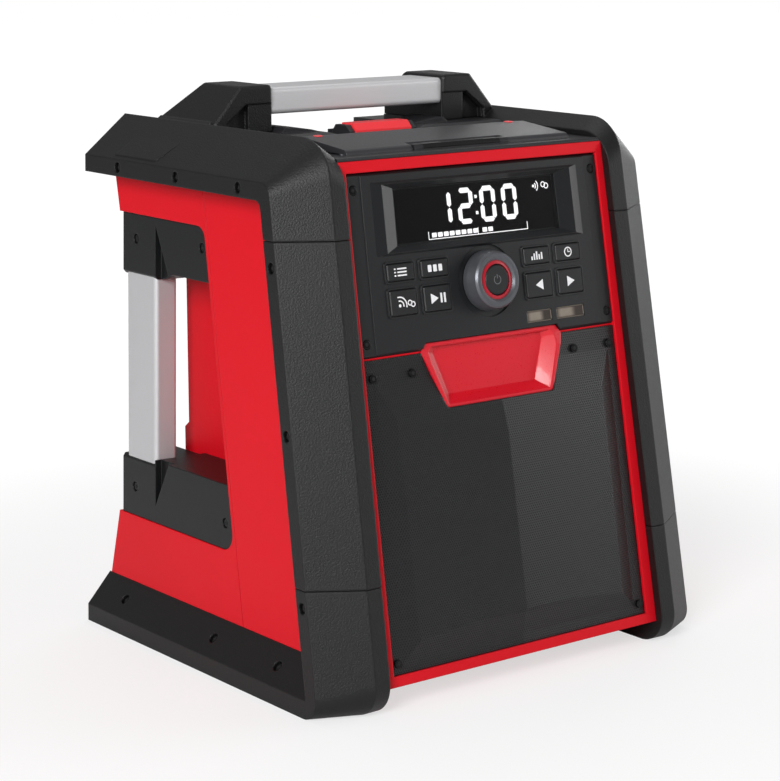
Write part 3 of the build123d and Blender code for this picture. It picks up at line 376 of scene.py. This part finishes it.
# %% Indicator lenses
LENS_S = 233.8 * MM
LENSES = ((0.0412, 0.0108), (0.0683, 0.01225))  # middle and half width of each window
LENS_EDGE = 0.0036  # half height over which the patch fades
lens = Finish("indicator lens", srgb(96, 84, 74), 0.14, coat_weight=0.5)
across, depth, up = lens.axes()
along = (depth - BORDER_Y * MM) * math.sin(LEAN) + up * math.cos(LEAN) - LENS_S
high = along.math("ABSOLUTE")
shade = None
for middle, half in LENSES:
    local = across - middle
    lit_patch = lens.band((local + half * 0.30).math("ABSOLUTE"), half * 0.75, half * 0.30)
    rim = lens.band(local.math("ABSOLUTE"), half - 0.0012, half - 0.0005)
    inside = lens.band(local.math("ABSOLUTE"), half + 0.0005, half + 0.0002)
    part = lit_patch.math("MAXIMUM", rim) * inside
    shade = part if shade is None else shade.math("MAXIMUM", part)
patch = shade * lens.band(high, LENS_EDGE, 0.0020)
patch = patch.math("MAXIMUM", lens.band(high, 0.0030, LENS_EDGE) * 0.6)
patch = patch * (lens.noise(160.0) * 0.5 + 0.6)
lens.feed("Base Color", lens.between(patch, srgb(58, 50, 46), srgb(142, 132, 120)))
lens.skin(lens.noise(300.0), 0.00001, 0.0004)
print("indicator lens done")

# %% [markdown]
# Every CAD node gets its finish by name. The solids stay as they are. One table holds the choices,
# and the cell prints the nodes that it has left out, so none stays bare unseen.

# %% Finishes of the CAD nodes
HANDS = ("left", "right")
FINISHES = {
    red_shell: ["front_housing", "rear_housing"],
    guard_skin: [f"{hand}_{part}_guard" for hand in HANDS for part in ("top", "front", "bottom")],
    bracket_skin: [f"{hand}_{part}_bracket" for hand in HANDS for part in ("upper", "lower")],
    tube_up: ["left_guard_tube", "right_guard_tube"],
    tube_across: ["carry_handle_tube"],
    deck_skin: ["top_deck"],
    lid_skin: ["compartment_lid"],
    steel: ["lid_hinge_pin", "latch_pin"],
    latch_red_lit: ["latch_lever"],
    panel_skin: ["control_panel"],
    window_glass: ["display_window"],
    display_dark: ["lcd_module"],
    key_rubber: [name for name in nodes if name.startswith("button_")] + ["power_button"],
    knob_skin: ["volume_knob"],
    ring_red: ["knob_ring"],
    grille_sheet: ["speaker_grille"],
    dish_skin: ["nameplate_dish"],
    lens: ["indicator_left", "indicator_right"],
    screw_black: [name for name in nodes if name.endswith("_screws")],
    speaker_skin: ["left_speaker", "right_speaker"],
    board_skin: ["control_board", "main_board"],
    inner_skin: ["usb_socket", "audio_jack", "knob_encoder", "speaker_baffle"]
    + ["charger_supply", "battery_dock", "dock_contacts", "ac_inlet"],
}
dressed = set()
for finish, names in FINISHES.items():
    for name in names:
        nodes[name].data.materials.clear()
        nodes[name].data.materials.append(finish.material)
        dressed.add(name)
print("nodes without a finish", sorted(set(nodes) - dressed))

# %% [markdown]
# New pieces start as a primitive at their size. These helpers clear the selection, copy a piece
# that repeats, and bake its place into its mesh, so that its object stays at the origin. A pattern
# on Object coordinates then stays where it was made.


# %% Helpers for new pieces
def clear_selection():
    bpy.ops.object.select_all(action="DESELECT")


def only(piece):
    clear_selection()
    piece.select_set(True)
    bpy.context.view_layer.objects.active = piece


def move_into_mesh(piece, place):
    """Bakes a place into the mesh, so that the object itself stays at the origin."""
    only(piece)
    bpy.ops.object.transform_apply(location=True, rotation=True, scale=True)
    piece.matrix_world = place
    bpy.ops.object.transform_apply(location=True, rotation=True, scale=True)
    return piece


def copies(pattern, places):
    """Lays a copy of a piece at every place, each with its own mesh, and drops the pattern."""
    laid = []
    for place in places:
        twin = pattern.copy()
        twin.data = pattern.data.copy()
        bpy.context.scene.collection.objects.link(twin)
        laid.append(move_into_mesh(twin, place))
    bpy.data.objects.remove(pattern)
    return laid


def finish_piece(piece, name, finish, body):
    """Names a piece, gives it its finish and lets it ride on a body."""
    piece.name = name
    piece.data.name = name
    piece.data.materials.clear()
    piece.data.materials.append(finish.material)
    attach(piece, body)
    return piece


def join(pieces):
    clear_selection()
    for piece in pieces:
        piece.select_set(True)
    bpy.context.view_layer.objects.active = pieces[0]
    if len(pieces) > 1:
        bpy.ops.object.join()
    return bpy.context.view_layer.objects.active


print("helpers ready")

# %% [markdown]
# Printed shapes are thin plates. A plate with any outline starts as a filled circle with as many
# corners as the outline, which are moved to their places before the face is extruded.


# %% Plates and rings
def raised(thick):
    """Extrudes the open mesh that is being edited, and points its faces outwards."""
    bpy.ops.mesh.select_all(action="SELECT")
    bpy.ops.mesh.extrude_region_move(TRANSFORM_OT_translate={"value": (0, 0, thick * MM)})
    bpy.ops.mesh.select_all(action="SELECT")
    bpy.ops.mesh.normals_make_consistent(inside=False)
    bpy.ops.object.mode_set(mode="OBJECT")


def plate(points, thick):
    """Thin plate with a drawn outline, standing on the drawing plane."""
    clear_selection()
    bpy.ops.mesh.primitive_circle_add(vertices=len(points), radius=1.0, fill_type="NGON")
    piece = bpy.context.object
    for vertex, (x, y) in zip(piece.data.vertices, points):
        vertex.co = (x * MM, y * MM, 0.0)
    bpy.ops.object.mode_set(mode="EDIT")
    raised(thick)
    return piece


def slab(x, y, width, height, thick):
    """Rectangle with slightly cut corners, as printed shapes have."""
    a, b = width / 2, height / 2
    cut = min(a, b) * 0.25
    corners = [(a - cut, b), (cut - a, b), (-a, b - cut), (-a, cut - b)]
    corners += [(cut - a, -b), (a - cut, -b), (a, cut - b), (a, b - cut)]
    return plate([(x + px, y + py) for px, py in corners], thick)


def ring(x, y, outer, inner, thick, steps=28):
    """Flat ring: a disc is inset, its middle is deleted and the rest is raised."""
    clear_selection()
    spot = (x * MM, y * MM, 0.0)
    bpy.ops.mesh.primitive_circle_add(
        vertices=steps, radius=outer * MM, fill_type="NGON", location=spot
    )
    bpy.ops.object.mode_set(mode="EDIT")
    bpy.ops.mesh.select_all(action="SELECT")
    bpy.ops.mesh.inset(thickness=(outer - inner) * MM, depth=0.0)
    bpy.ops.mesh.delete(type="FACE")
    raised(thick)
    piece = bpy.context.object
    bpy.ops.object.transform_apply(location=True, rotation=True, scale=True)
    return piece


def arc(x, y, outer, inner, thick, start, sweep, steps=14):
    """Flat arc, drawn as one outline: out along the outer edge and back along the inner one."""
    angles = [math.radians(start + sweep * i / steps) for i in range(steps + 1)]
    far = [(x + outer * math.cos(a), y + outer * math.sin(a)) for a in angles]
    near = [(x + inner * math.cos(a), y + inner * math.sin(a)) for a in reversed(angles)]
    return plate(far + near, thick)


print("plate helpers ready")

# %% [markdown]
# Behind the latch the top falls away, so that a hand fits under the carry tube from the rear. The
# bare solids have a level top there. Copies of the deck and the rear shell are cut with a wedge,
# and a sloping tray lines the cut. The copies stand for the two nodes. The Boolean modifier suits
# this well, because the cut has few faces and all of them are flat.


# %% Cutting a copy of a node
def prism(outline, low_x, high_x):
    """Solid with an outline drawn in depth and height, running from low_x to high_x."""
    piece = plate(outline, high_x - low_x)
    turned = Matrix(((0, 0, 1), (1, 0, 0), (0, 1, 0))).to_4x4()
    return move_into_mesh(piece, Matrix.Translation((low_x * MM, 0, 0)) @ turned)


def cross_prism(outline, low_y, high_y):
    """Solid with an outline drawn in width and height, running from low_y to high_y."""
    piece = plate(outline, high_y - low_y)
    place = Matrix.Translation((0, high_y * MM, 0)) @ Matrix.Rotation(math.pi / 2, 4, "X")
    return move_into_mesh(piece, place)


def copy_of(name):
    """Own copy of a node's mesh, with its loose triangles merged."""
    piece = nodes[name].copy()
    piece.data = nodes[name].data.copy()
    piece.parent = None
    piece.matrix_world = Matrix()
    bpy.context.scene.collection.objects.link(piece)
    only(piece)
    bpy.ops.object.mode_set(mode="EDIT")
    bpy.ops.mesh.select_all(action="SELECT")
    bpy.ops.mesh.remove_doubles(threshold=0.000002)
    bpy.ops.mesh.normals_make_consistent(inside=False)
    bpy.ops.object.mode_set(mode="OBJECT")
    return piece


def combined(piece, tool, operation):
    """Cuts the tool from the piece, or adds it."""
    only(piece)
    change = piece.modifiers.new("change", "BOOLEAN")
    change.operation = operation
    change.solver = "EXACT"
    change.object = tool
    bpy.ops.object.modifier_apply(modifier=change.name)
    bpy.data.objects.remove(tool)
    return piece


def crisp(piece):
    """Flat faces stay flat and only gentle curves are shaded smooth."""
    only(piece)
    bpy.ops.mesh.customdata_custom_splitnormals_clear()
    bpy.ops.object.shade_smooth_by_angle(angle=math.radians(24.0))
    return piece


# %% [markdown]
# The wedge runs back from under the carry tube to the rear edge, between the tube's two feet. A
# level cut joins it to the latch. Outlines are drawn in depth and height.

# %% Wedge under the carry tube
CLEAR = 356.0  # above all of the deck
BEHIND = 150.0  # behind all of the deck
TRAY_HALF = 72.0
TRAY_FRONT = (60.0, 339.4)
TRAY_REAR = (141.0, 329.8)
SEAM = 62.0  # the cuts in front reach a little into the tray
LATCH_REAR, LATCH_FLOOR, LATCH_HALF = 38.2, 339.9, 27.4


def cleared(front, rear, floor):
    """Outline of all that lies above a level floor."""
    return [(front, floor), (rear, floor), (rear, CLEAR), (front, CLEAR)]


deck = copy_of("top_deck")
above = [TRAY_FRONT, (BEHIND, 328.7), (BEHIND, CLEAR), (TRAY_FRONT[0], CLEAR)]
deck = combined(deck, prism(above, -TRAY_HALF, TRAY_HALF), "DIFFERENCE")
behind_latch = prism(cleared(LATCH_REAR, SEAM, LATCH_FLOOR), -LATCH_HALF, LATCH_HALF)
deck = combined(deck, behind_latch, "DIFFERENCE")
print("wedge under the carry tube", len(deck.data.polygons), "faces")

# %% [markdown]
# Beside the latch the deck falls towards it in a soft shoulder. In front the cut stops at the
# latch's cheek; behind the cheek it runs on to meet the cut behind the latch. Behind the feet of
# the carry tube the deck is only a thin lip.

# %% Shoulders and lip
SHOULDER = [(36.0, 343.8), (46.0, 346.3), (58.0, 348.0), (70.0, 348.6), (70.0, CLEAR)]
BESIDE_CHEEK = (28.3, 11.2, 31.6)
BEHIND_CHEEK = (27.3, 31.5, SEAM)
FEET_REAR, LIP_TOP = 104.8, 340.0
for inner_x, low_y, high_y in (BESIDE_CHEEK, BEHIND_CHEEK):
    for side in (1, -1):
        outline = [(inner_x, 341.0), *SHOULDER, (inner_x, CLEAR)]
        mirrored = [(side * x, z) for x, z in outline][::side]
        deck = combined(deck, cross_prism(mirrored, low_y, high_y), "DIFFERENCE")
lip = prism(cleared(FEET_REAR, BEHIND, LIP_TOP), -120.0, 120.0)
deck = combined(deck, lip, "DIFFERENCE")
print("deck with shoulders", len(deck.data.polygons), "faces")

# %% [markdown]
# A sloping floor and two cheeks line the wedge. They reach a little into the deck in front and on
# both sides, so that no seam stays open.

# %% Lining of the tray
floor_side = [(58.0, 339.2), TRAY_FRONT, TRAY_REAR, (TRAY_REAR[0], 327.2), (58.0, 336.6)]
cheek_side = [(64.0, 338.9), (TRAY_REAR[0], 329.4), (TRAY_REAR[0], LIP_TOP), (64.0, LIP_TOP)]
FLOOR_HALF = TRAY_HALF + 2.0
CHEEK_HALF = TRAY_HALF + 2.4
tray = [prism(floor_side, -FLOOR_HALF, FLOOR_HALF)]
for low_x, high_x in ((-CHEEK_HALF, -TRAY_HALF), (TRAY_HALF, CHEEK_HALF)):
    tray.append(prism(cheek_side, low_x, high_x))
for part in tray:
    deck = combined(deck, part, "UNION")
finish_piece(crisp(deck), "deck_with_tray", deck_skin, "radio")
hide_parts("top_deck")
print("deck faces", len(deck.data.polygons))

# %% [markdown]
# The rear shell gives way under the tray. Both copies lose the shading they were imported with and
# get it anew, because the cut has changed their faces.

# %% Rear shell under the tray
SHELL_HALF = TRAY_HALF + 2.5
shell = copy_of("rear_housing")
under = [(57.9, 336.5), (BEHIND, 325.7), (BEHIND, 345.0), (57.9, 345.0)]
shell = combined(shell, prism(under, -SHELL_HALF, SHELL_HALF), "DIFFERENCE")
finish_piece(crisp(shell), "rear_shell", red_shell, "radio")
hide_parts("rear_housing")
print("rear shell faces", len(shell.data.polygons))

# %% [markdown]
# The display shows a clock made of seven-segment figures. A segment is a long plate with pointed
# ends, so that neighbours meet along a slanting gap.

# %% One figure of the clock
GLOW = 0.05  # thickness of a lit shape
FIGURE_FOOT = 298.4
FIGURE_WIDE = 13.0
FIGURE_HIGH = 23.2
BAR = 3.3
FIGURES = {"1": "bc", "2": "abged", "0": "abcdef"}


def segment(kind, x):
    """One pointed segment of a figure whose lower left corner is at x."""
    half = BAR / 2
    upper, lower = FIGURE_HIGH * 0.75 - half / 2, FIGURE_HIGH * 0.25 + half / 2
    spots = {
        "a": (FIGURE_WIDE / 2, FIGURE_HIGH - half),
        "g": (FIGURE_WIDE / 2, FIGURE_HIGH / 2),
        "d": (FIGURE_WIDE / 2, half),
        "b": (FIGURE_WIDE - half, upper),
        "c": (FIGURE_WIDE - half, lower),
        "f": (half, upper),
        "e": (half, lower),
    }
    cx, cy = spots[kind]
    flat = kind in "agd"
    reach = FIGURE_WIDE / 2 - half if flat else FIGURE_HIGH / 4 - half / 2
    tip = reach - 0.25
    body = tip - half * 0.85
    points = [(-tip, 0), (-body, -half), (body, -half), (tip, 0), (body, half), (-body, half)]
    if not flat:
        points = [(py, px) for px, py in reversed(points)]
    return plate([(x + cx + px, cy + py) for px, py in points], GLOW)


clock = [segment(kind, x) for name, x in (("1", -33.3), ("2", -15.2)) for kind in FIGURES[name]]
clock += [segment(kind, x) for x in (3.6, 21.9) for kind in FIGURES["0"]]
clock += [slab(0.4, height, 2.1, 2.1, GLOW) for height in (16.9, 6.5)]
print("clock segments", len(clock))

# %% [markdown]
# Below the clock runs a scale: a base line with a tick at each end and ten filled blocks. To its
# right stand two small signs, a wave and two linked rings.

# %% Scale and small signs of the display
DISPLAY_FACE = -7.48
BLOCK_STEP = 4.857
scale = [slab(0.3, -7.3, 83.0, 0.55, GLOW), slab(-0.3, -5.1, 0.45, 4.4, GLOW)]
scale += [slab(x, -4.9, 0.55, 5.0, GLOW) for x in (-41.0, 41.6)]
scale += [slab(-36.45 + i * BLOCK_STEP, -4.8, 3.9, 2.9, GLOW) for i in range(8)]
scale += [slab(x, -4.8, 3.9, 2.9, GLOW) for x in (5.3, 10.15)]
waves = [arc(49.6, 20.0, far, far - 0.75, GLOW, -48, 96, 10) for far in (2.7, 4.6)]
links = [ring(x, 20.0 + lift, 2.0, 1.35, GLOW, 14) for x, lift in ((58.4, 0.5), (61.0, -0.5))]
dot = [ring(49.9, 20.0, 1.0, 0.15, GLOW, 10)]
figures = join(clock + scale + waves + links + dot)
figures = move_into_mesh(figures, front_place(0, FIGURE_FOOT, DISPLAY_FACE))
finish_piece(figures, "display_figures", segment_glow, "radio")
print("display figures", len(figures.data.polygons), "faces")

# %% [markdown]
# Each key has a printed sign. Signs are plain shapes that read without words: bars, arrows, a clock
# face. They are drawn around zero and ride on the body of their key.

# %% Shapes of the key signs
PRINT = 0.08  # thickness of the paint


def triangle(x, size, way):
    tip, tail, high = x + way * size * 0.62, x - way * size * 0.5, size * 0.62
    return plate([(tail, -high), (tip, 0.0), (tail, high)][:: 1 if way > 0 else -1], PRINT)


def list_sign():
    rows = (-2.1, 0.0, 2.1)
    return [slab(0.9, y, 7.4, 0.95, PRINT) for y in rows] + [
        slab(-4.6, y, 1.2, 0.95, PRINT) for y in rows
    ]


def bars_sign():
    heights = ((-4.2, 2.4), (-2.1, 4.2), (0.0, 5.4), (2.1, 3.4), (4.2, 4.6))
    return [slab(x, -2.7 + high / 2, 1.2, high, PRINT) for x, high in heights]


def clock_sign():
    hands = [slab(0, 0.9, 0.65, 2.2, PRINT), slab(0.8, 0, 1.8, 0.65, PRINT)]
    return [ring(0, 0, 3.3, 2.5, PRINT, 24)] + hands


def wireless_sign():
    waves = [arc(-3.4, -1.8, far, far - 0.85, PRINT, -15, 120) for far in (3.4, 5.8)]
    rings = [ring(x, y, 1.9, 1.15, PRINT, 14) for x, y in ((4.6, -0.6), (7.0, -1.7))]
    return waves + rings + [ring(-3.4, -1.8, 1.0, 0.1, PRINT, 12)]


print("sign shapes ready")

# %% [markdown]
# The signs are laid on the keys. The faces of all keys lie in one plane, parallel to the panel.

# %% Key signs
KEY_FACE = -2.6
UPPER, LOWER = 273.1, 254.0
SIGNS = {
    "button_mode": (-70.0, UPPER, list_sign()),
    "button_preset": (-42.7, UPPER, [slab(x, 0, 2.9, 4.4, PRINT) for x in (-4.3, 0.0, 4.3)]),
    "button_wireless": (-70.0, LOWER, wireless_sign()),
    "button_play": (
        -42.7,
        LOWER,
        [triangle(-2.9, 5.4, 1)] + [slab(x, 0, 1.5, 6.2, PRINT) for x in (2.7, 5.5)],
    ),
    "button_tone": (42.7, UPPER, bars_sign()),
    "button_clock": (70.0, UPPER, clock_sign()),
    "button_back": (42.7, LOWER, [triangle(0.2, 5.6, -1)]),
    "button_forward": (70.0, LOWER, [triangle(-0.2, 5.6, 1)]),
}
for name, (x, s, parts) in SIGNS.items():
    sign = move_into_mesh(join(parts), front_place(x, s, KEY_FACE))
    body = name.replace("button_", "key_")
    finish_piece(sign, name + "_sign", sign_white, body)
print("key signs", len(SIGNS))

# %% [markdown]
# The power key has the usual sign for on and off, an open ring with a stroke, in a quiet grey. An
# arc and a slab make it, as with the signs of the other keys.

# %% Power sign
POWER_FACE = 6.3
power_parts = [arc(0, 0, 3.0, 2.45, PRINT, 120, 300, 24), slab(0, 2.2, 0.6, 2.8, PRINT)]
power_sign = move_into_mesh(join(power_parts), front_place(0, KNOB_S, POWER_FACE))
finish_piece(power_sign, "power_sign", sign_grey, "power_key")
print("power sign", len(power_sign.data.polygons), "faces")

# %% [markdown]
# A screw head is known by its recess. Cutting it into each head would take many small faces. Seen
# from a hand's width it is only a small dark star of shade, so a thin black star with six lobes, a
# plate of painted shade, is made in the size of the head, and copies of it are laid on all heads of
# that size.

# %% Star of painted recess shade
STAR_STEPS = 36
STAR_THICK = 0.04
STAR_TURN = 0.3


def star(radius):
    """Star with six round lobes."""
    points = []
    for i in range(STAR_STEPS):
        angle = 2 * math.pi * i / STAR_STEPS
        far = radius * (0.86 + 0.14 * math.cos(6 * angle))
        points.append((far * math.cos(angle), far * math.sin(angle)))
    return plate(points, STAR_THICK)


PANEL_HEAD, GRILLE_HEAD = -4.38, -3.48
FRONT_SCREWS = [(x, 326.2, PANEL_HEAD) for x in (-99.0, 99.0)]
FRONT_SCREWS += [(x, 231.0, PANEL_HEAD) for x in (-101.0, 101.0)]
FRONT_SCREWS += [(x, 209.4, GRILLE_HEAD) for x in (-99.3, -68.1, 68.1, 99.3)]
FRONT_SCREWS += [(x, 31.4, GRILLE_HEAD) for x in (-103.5, 103.5)]
# each star is a black plate of painted shade for the recess of its head
stars = copies(star(1.45), [front_place(x, s, n, STAR_TURN) for x, s, n in FRONT_SCREWS])
finish_piece(join(stars), "front_screw_recess_shades", recess_shade_black, "radio")
print("front screws", len(FRONT_SCREWS))

# %% [markdown]
# The guards and the tube brackets are held by screws that sit deep in round holes of the sides.
# Their places are given on the leaning side itself, so that each star lies flat on its head. Each
# star is a black plate of painted shade for its recess.

# %% Painted shade in the recesses of the side screws
# depth y of each head and its height up the face, for the post, the rail, the brackets and the foot
POST = [(-123.0 + z * math.tan(LEAN), z) for z in (276.0, 174.6, 70.0)]
RAIL = [(y, 321.8) for y in (103.7, 33.2, -37.7)]
BRACKET = [(109.5, 272.1), (29.5, 275.0), (111.6, 100.1), (1.0, 97.5)]
FOOT = [(y, 0.0) for y in (109.6, -0.3, -73.0)]
FOOT_TILT = math.atan2(20.5, 17.9)
FOOT_X, FOOT_Z = 151.0, 21.9
GUARD_SUNK = 1.58
BRACKET_INSET, BRACKET_SUNK = 18.4, 0.68
for hand, side in ((-1, "left"), (1, "right")):
    guard = [side_place(hand, 0, y, z, GUARD_SUNK) for y, z in POST + RAIL]
    bracket = [side_place(hand, BRACKET_INSET, y, z, BRACKET_SUNK) for y, z in BRACKET]
    tilt = Vector((hand * math.sin(FOOT_TILT), 0, math.cos(FOOT_TILT)))
    seat = Vector((hand * FOOT_X, 0, FOOT_Z)) - tilt * GUARD_SUNK
    guard += [tilted_place(seat, tilt, (0, hand, 0), hand * y, up) for y, up in FOOT]
    # the stars are plates of painted shade for the recesses of the heads
    stars = copies(star(1.6), guard) + copies(star(1.5), bracket)
    finish_piece(join(stars), side + "_screw_recess_shades", recess_shade_black, "radio")
print("side screws", 2 * len(POST + RAIL + BRACKET + FOOT))

# %% [markdown]
# The battery dock at the back has four slots with a brass blade in each. A blade is a thin upright
# strip with slightly bevelled edges. All four are alike, so one is modelled and then copied.

# %% Contact blades
BLADE_X = (-13.5, -4.5, 4.5, 13.5)
BLADE_Y, BLADE_Z = 69.8, 186.5
BLADE_SIZE = (0.8, 4.6, 34.0)


def rounded(piece, width, segments):
    """Bevels all edges of a new piece."""
    only(piece)
    bpy.ops.object.transform_apply(location=True, rotation=True, scale=True)
    rounding = piece.modifiers.new("rounding", "BEVEL")
    rounding.width = width * MM
    rounding.segments = segments
    bpy.ops.object.modifier_apply(modifier=rounding.name)
    return piece


clear_selection()
bpy.ops.mesh.primitive_cube_add(size=1.0)
bpy.context.object.scale = [side * MM for side in BLADE_SIZE]
blade = rounded(bpy.context.object, 0.25, 2)
spots = [Vector((x, BLADE_Y, BLADE_Z)) * MM for x in BLADE_X]
blades = copies(blade, [Matrix.Translation(spot) for spot in spots])
finish_piece(join(blades), "contact_blades", brass, "radio")
print("contact blades", len(BLADE_X))

# %% [markdown]
# In front of the lid's middle there is a finger recess, dark with shade. A thin glossy black plate,
# which is painted shade, stands for that dark: it follows the knuckle under it, stands a little
# proud of it, and stays with the radio when the lid opens. Two red plugs sit in the ridge of the
# lid; a plug is a disc with a rounded rim.

# %% Lid details
RECESS_HALF = 32.0
PLUG_X, PLUG_Y, PLUG_Z = 80.1, -22.8, 347.7
# near black gloss for the dark of the finger notch: painted shade over the knuckle
notch_shade_finish = Finish("painted notch shade", srgb(9, 9, 10), 0.28)
notch_shade_finish.skin(notch_shade_finish.noise(900.0), 0.00002, 0.0004)
lining = [(-71.25, 341.0), (-71.25, 341.9), (-69.68, 343.95), (-64.4, 343.95)]
lining += [(-64.4, 343.6), (-69.4, 343.6), (-70.9, 341.7), (-70.9, 341.0)]
finger_notch_shade = prism(lining, -RECESS_HALF, RECESS_HALF)
finish_piece(finger_notch_shade, "finger_notch_shade", notch_shade_finish, "radio")
clear_selection()
bpy.ops.mesh.primitive_cylinder_add(vertices=28, radius=3.2 * MM, depth=1.6 * MM)
plug = rounded(bpy.context.object, 0.5, 3)
spots = [Vector((x, PLUG_Y, PLUG_Z)) * MM for x in (-PLUG_X, PLUG_X)]
plugs = copies(plug, [Matrix.Translation(spot) for spot in spots])
# the plugs take the latch red with its painted highlight
finish_piece(join(plugs), "lid_plugs", latch_red_lit, "lid")
print("lid details", len(finger_notch_shade.data.polygons), "faces")

# %% [markdown]
# Studio light is large and soft, because small lamps draw hard spots on glossy plastic. The key
# lamp stands to the left of the viewer and lights the side and the slanted guard; a broad box on
# the right draws the facets of the front. Weak lamps above and behind keep the tops and the rear
# readable.


# %% Light
MIDDLE = Vector((0, 0, 0.2))


def lamp(name, place, size, power):
    """Square lamp that looks at the middle of the radio."""
    light = bpy.data.lights.new(name, "AREA")
    light.shape = "RECTANGLE"
    light.size = size
    light.size_y = size
    light.energy = power
    holder = bpy.data.objects.new(name, light)
    bpy.context.scene.collection.objects.link(holder)
    holder.location = place
    aim = MIDDLE - Vector(place)
    holder.rotation_euler = aim.to_track_quat("-Z", "Y").to_euler()


lamp("key lamp", (-1.9, -1.3, 1.15), 0.9, 55.0)
lamp("right box", (2.0, -0.85, 0.7), 1.3, 15.5)
lamp("top lamp", (0.3, 0.6, 2.0), 1.4, 8.0)
lamp("rear fill", (2.25, 1.5, 0.5), 1.2, 17.0)
print("lamps", len(bpy.data.lights))

# %% [markdown]
# The room is a soft grey that lights the object. What the viewer sees behind it is plain white,
# also through glass, and glossy surfaces reflect a small share of that white. Light Path tells the
# rays apart, so the white backdrop adds hardly any light to the object.

# %% Room
ROOM_LEVEL = 0.22
GLOSSY_SHARE = 0.06
world = bpy.data.worlds.new("studio")
bpy.context.scene.world = world
world.use_nodes = True
tree = world.node_tree
tree.nodes.clear()


def world_node(kind, values=None, **settings):
    made = tree.nodes.new(kind)
    for key, value in settings.items():
        setattr(made, key, value)
    for key, value in (values or {}).items():
        if isinstance(value, bpy.types.NodeSocket):
            tree.links.new(value, made.inputs[key])
        else:
            made.inputs[key].default_value = value
    return made


path = world_node("ShaderNodeLightPath").outputs
glossy = {0: path["Is Glossy Ray"], 1: GLOSSY_SHARE}
glossy = world_node("ShaderNodeMath", glossy, operation="MULTIPLY")
seen = {0: path["Is Camera Ray"], 1: path["Is Transmission Ray"]}
seen = world_node("ShaderNodeMath", seen, operation="MAXIMUM").outputs[0]
share = world_node("ShaderNodeMath", {0: seen, 1: glossy.outputs[0]}, operation="MAXIMUM")
room = world_node("ShaderNodeBackground", {"Color": (1, 1, 1, 1), "Strength": ROOM_LEVEL})
white = world_node("ShaderNodeBackground", {"Color": (1, 1, 1, 1), "Strength": 1.0})
sides = {0: share.outputs[0], 1: room.outputs[0], 2: white.outputs[0]}
mixed = world_node("ShaderNodeMixShader", sides)
world_node("ShaderNodeOutputWorld", {0: mixed.outputs[0]})
print("world nodes", len(tree.nodes))

# %% [markdown]
# The floor is a plain pale sheet. Far from the radio it is seen as white; near it, part of what is
# seen is the lit sheet itself, which keeps the soft shadow.

# %% Floor
SHADOW_ENDS = (0.30, 0.75)
SHEET_SHARE = 0.40  # how much of the lit sheet is seen close to the radio
clear_selection()
bpy.ops.mesh.primitive_plane_add(size=14.0, location=(0, 0, 0))
floor = bpy.context.object
floor.name = "studio_floor"
floor_finish = Finish("studio floor", (0.90, 0.90, 0.90), 0.9)
across, depth, up = floor_finish.axes()
far = (across * across + depth * depth).math("SQRT")
plain = floor_finish.band(far, *SHADOW_ENDS)
camera_ray = floor_finish.node("ShaderNodeLightPath", output="Is Camera Ray")
share = (plain * SHEET_SHARE + (1 - SHEET_SHARE)) * camera_ray
glow = floor_finish.node("ShaderNodeEmission", None, {"Strength": 1.06})
lit = Reading(floor_finish, floor_finish.shader.outputs[0])
sides = {0: share, 1: lit, 2: glow}
mixed = floor_finish.node("ShaderNodeMixShader", None, sides)
output = next(n for n in floor_finish.tree.nodes if n.type == "OUTPUT_MATERIAL")
floor_finish.tree.links.new(mixed.socket, output.inputs["Surface"])
floor.data.materials.append(floor_finish.material)
print("floor ready")

# %% [markdown]
# The camera looks down by about twelve degrees from the front left, with a long lens, so that the
# leaning front and the whole left side are seen.

# %% Camera
SENSOR = 36.0
FOCAL, PICTURE = 2328.994, 781.0  # both in pixels
EYE = (-0.957322, -1.224652, 0.494356)
LOOK_DOWN, LOOK_RIGHT = 11.8540, 37.9003  # degrees
camera = bpy.data.cameras.new("camera")
camera.sensor_width = SENSOR
camera.lens = SENSOR * FOCAL / PICTURE
camera.clip_start = 0.1
camera.clip_end = 20.0
viewer = bpy.data.objects.new("camera", camera)
bpy.context.scene.collection.objects.link(viewer)
viewer.location = EYE
viewer.rotation_euler = (math.radians(90.0 - LOOK_DOWN), 0.0, -math.radians(LOOK_RIGHT))
bpy.context.scene.camera = viewer
bpy.context.scene.view_settings.view_transform = "Standard"
print("lens", round(camera.lens, 2))
